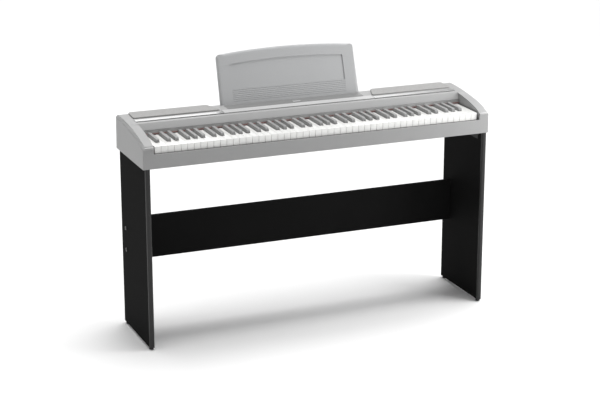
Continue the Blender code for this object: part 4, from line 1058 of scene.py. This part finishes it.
def deck_plate(columns, rows, proud, sunk, hole=None):
    """A plate over a grid of places on the deck, lying on it, one cell left out."""
    shape = bmesh.new()
    across, along = len(columns) - 1, len(rows) - 1
    bmesh.ops.create_grid(shape, x_segments=across, y_segments=along, size=0.5)
    for vert in shape.verts:
        x = columns[round((vert.co.x + 0.5) * across)]
        y = rows[round((vert.co.y + 0.5) * along)]
        surface = deck.ray_cast((x, y, 1.0), (0, 0, -1))[0]
        vert.co = (x, y, surface.z + proud)
    if hole:
        nearest = min(
            shape.faces, key=lambda face: (face.calc_center_median() - hole).length
        )
        bmesh.ops.delete(shape, geom=[nearest], context="FACES")
    drawn(shape, shape.faces[:], (0, 0, -proud - sunk))
    bmesh.ops.recalc_face_normals(shape, faces=shape.faces)
    soften(shape, sharp(shape), PLATE_EDGE)
    return shape


trim_low, trim_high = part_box("trim_left")
rail_back = trim_high.y + RAIL_BEHIND_TRIM
rail_rows = [
    trim_low.y,
    trim_low.y + RAIL_FIRST_BEND,
    trim_high.y + RAIL_SECOND_BEND,
    rail_back,
]
rail = deck_plate((-RAIL_HALF, 0, RAIL_HALF), rail_rows, RAIL_PROUD, RAIL_SUNK)
light_rail = moulded_finish("rail plastic", 0.50, 0.3, 0.00002)
fitted("centre_rail", rail, light_rail, "button_plastic", STAND_BODY)

# ---------------------------------------------------------------------------
# Trim shadow strip. A thin near-black sheet laid in the groove along the front of the
# trims and the rail, from one end of the keyboard opening to the other: a painted shadow
# for the groove's shade.

SHADOW_STRIP_THICK, SHADOW_STRIP_WIDE = 0.0007, 0.0042
SHADOW_STRIP_BEFORE_TRIM = 0.0017

opening_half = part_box("fallboard")[1].x
shadow_strip_back = trim_low.y - SHADOW_STRIP_BEFORE_TRIM
shadow_strip_rows = (shadow_strip_back - SHADOW_STRIP_WIDE, shadow_strip_back)
painted_shadow_strip = deck_plate((-opening_half, 0, opening_half), shadow_strip_rows, SHADOW_STRIP_THICK, 0)
# Painted shadow: a near-black sheet that stands for the shade in the groove before the
# trims.
shadow_strip_black = hard_plastic_finish("painted shadow strip", 0.05, 0.6)
fitted("trim_painted_shadow", painted_shadow_strip, shadow_strip_black, "black_plastic", STAND_BODY)

# ---------------------------------------------------------------------------
# Cheek lips. A thin strip on the flat nose of each cheek, over the joint between the upper
# and the lower case, much paler than the case: a painted highlight for the light the flat
# nose catches.

LIP_FRONT, LIP_BACK = 0.0022, 0.0082
LIP_THICK, LIP_RAISED = 0.0009, 0.0001
LIP_FROM_OPENING, LIP_FROM_SIDE = 0.001, 0.0075

cheek_low, cheek_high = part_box("upper_case")
lip_rows = (cheek_low.y + LIP_FRONT, cheek_low.y + LIP_BACK)
lip_right = (opening_half + LIP_FROM_OPENING, cheek_high.x - LIP_FROM_SIDE)
lip_left = [-x for x in reversed(lip_right)]
# Painted highlight: the strip's plastic is much paler than the case grey, standing for the
# light on the cheek's flat nose.
lip_painted_highlight = moulded_finish("lip plastic", 0.62, 0.3, 0.00002)
for side_name, columns in zip(SIDE_NAMES, (lip_left, lip_right)):
    lip = deck_plate(columns, lip_rows, LIP_THICK, -LIP_RAISED)
    fitted(f"cheek_lip_{side_name}", lip, lip_painted_highlight, "button_plastic", STAND_BODY)

# ---------------------------------------------------------------------------
# Tray lining. A darker satin plate that covers the sunk tray between the rail and
# the music rest, cut out for the button.

LINING_HALF = 0.2622
LINING_THICK, LINING_RAISED = 0.0008, 0.0001
LINING_AFTER_RAIL, LINING_BEFORE_REST = 0.0045, 0.0008
BUTTON_ROOM = 0.0016

button_low, button_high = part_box("power_button")
rest_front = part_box("music_rest")[0].y
lining_columns = (
    -LINING_HALF,
    button_low.x - BUTTON_ROOM,
    button_high.x + BUTTON_ROOM,
    LINING_HALF,
)
lining_rows = (
    rail_back + LINING_AFTER_RAIL,
    button_low.y - BUTTON_ROOM,
    button_high.y + BUTTON_ROOM,
    rest_front - LINING_BEFORE_REST,
)
button_place = (button_low + button_high) / 2
lining = deck_plate(
    lining_columns, lining_rows, LINING_THICK, -LINING_RAISED, button_place
)
tray_satin = moulded_finish("tray plastic", 0.215, 0.24, 0.00002)
fitted("tray_lining", lining, tray_satin, "dark_plastic", STAND_BODY)

# ---------------------------------------------------------------------------
# Power button. A pale satin cap in the sunk tray, rounded at its edges, which
# stands just proud so that a finger finds it.

BUTTON_ROUND = 0.0007

button_pale = moulded_finish("button plastic", 0.44, 0.3, 0.00002)
cap = copied("power_button")
soften(cap, sharp(cap), BUTTON_ROUND, 3)
fitted(
    "power_button_cap", cap, button_pale, "button_plastic", "power_button", "power_button"
)

# ---------------------------------------------------------------------------
# Sockets. Round black plastic jacks with a flange that sits on the outside of the
# rear wall, bored for the plug.

JACK_BORE, JACK_DEEP = 0.0032, 0.0165
JACK_BARREL = 0.006
FLANGE_THICK = 0.0015

for node in ("pedal_socket", "phones_socket", "power_inlet"):
    low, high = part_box(node)
    centre = ((low.x + high.x) / 2, low.y, (low.z + high.z) / 2)
    flange, length = (high.x - low.x) / 2, high.y - low.y
    profile = [
        (0, length - JACK_DEEP),
        (JACK_BORE, length - JACK_DEEP),
        (JACK_BORE, length - 0.0004),
        (JACK_BORE + 0.0004, length),
        (flange - 0.0009, length),
        (flange - 0.0003, length - 0.0003),
        (flange, length - 0.0009),
        (flange, length - FLANGE_THICK),
        (JACK_BARREL, length - FLANGE_THICK),
        (JACK_BARREL, 0),
        (0, 0),
    ]
    jack = spun(profile, centre, 40, "Y")
    fitted(node + "_jack", jack, black_plastic, "black_plastic", STAND_BODY, node)

# ---------------------------------------------------------------------------
# Music rest. A cool grey board that leans back out of its slot, arched along the
# top, with a thick rounded rim, a sunk field and a band of fine grooves under it.

REST_LEAN = math.radians(18.3)
REST_RIM, REST_RIM_FLATNESS = 0.0115, 2.2
REST_BACK_RIM = 0.0028
REST_SIDES_FROM = 0.25  # from the middle of the board
REST_TOP_FROM = 0.9  # from the floor, with the board stood upright
EDGE_FACE_AREA = 0.0001
GROOVE_DEPTH, GROOVE_FOOT = 0.0012, 0.0001

rest_grey = moulded_finish("music rest plastic", 0.485, 0.42, 0.00004, -0.012)
rest = copied("music_rest")
upright = Matrix.Rotation(REST_LEAN, 4, "X")
bmesh.ops.transform(rest, matrix=upright, verts=rest.verts)
front_y = min(vert.co.y for vert in rest.verts)
back_y = max(vert.co.y for vert in rest.verts)

# Marks the groove floors, where the finish paints shade into the grooves.
groove = rest.verts.layers.float.new("groove")
groove_floors = [
    face
    for face in rest.faces
    if abs(face.calc_center_median().y - front_y - GROOVE_DEPTH) < NEAR
]
for face in groove_floors:
    middle = face.calc_center_median().z
    for vert in face.verts:
        vert[groove] = 1.0
        if vert.co.z < middle:
            vert.co.y = front_y + GROOVE_FOOT

back_rim = [
    edge
    for edge in sharp(rest, 50)
    if all(vert.co.y > back_y - NEAR for vert in edge.verts)
]
soften(rest, back_rim, REST_BACK_RIM, 3)

front_rim = [
    edge
    for edge in sharp(rest, 50)
    if all(vert.co.y < front_y + NEAR for vert in edge.verts)
    and any(
        abs(face.normal.y) < 0.1 and face.calc_area() > EDGE_FACE_AREA
        for face in edge.link_faces
    )
    and any(
        abs(vert.co.x) > REST_SIDES_FROM or vert.co.z > REST_TOP_FROM
        for vert in edge.verts
    )
]
to_front = Matrix.Translation((0, front_y, 0))
flatten = to_front @ Matrix.Diagonal((1, REST_RIM_FLATNESS, 1, 1)) @ to_front.inverted()
bmesh.ops.transform(rest, matrix=flatten, verts=rest.verts)
soften(rest, front_rim, REST_RIM, 4)
bmesh.ops.transform(rest, matrix=flatten.inverted(), verts=rest.verts)
bmesh.ops.transform(rest, matrix=upright.inverted(), verts=rest.verts)
fitted(
    "music_rest_board",
    rest,
    rest_grey,
    "rest_plastic",
    "music_rest",
    "music_rest",
    smooth_below=20,
)
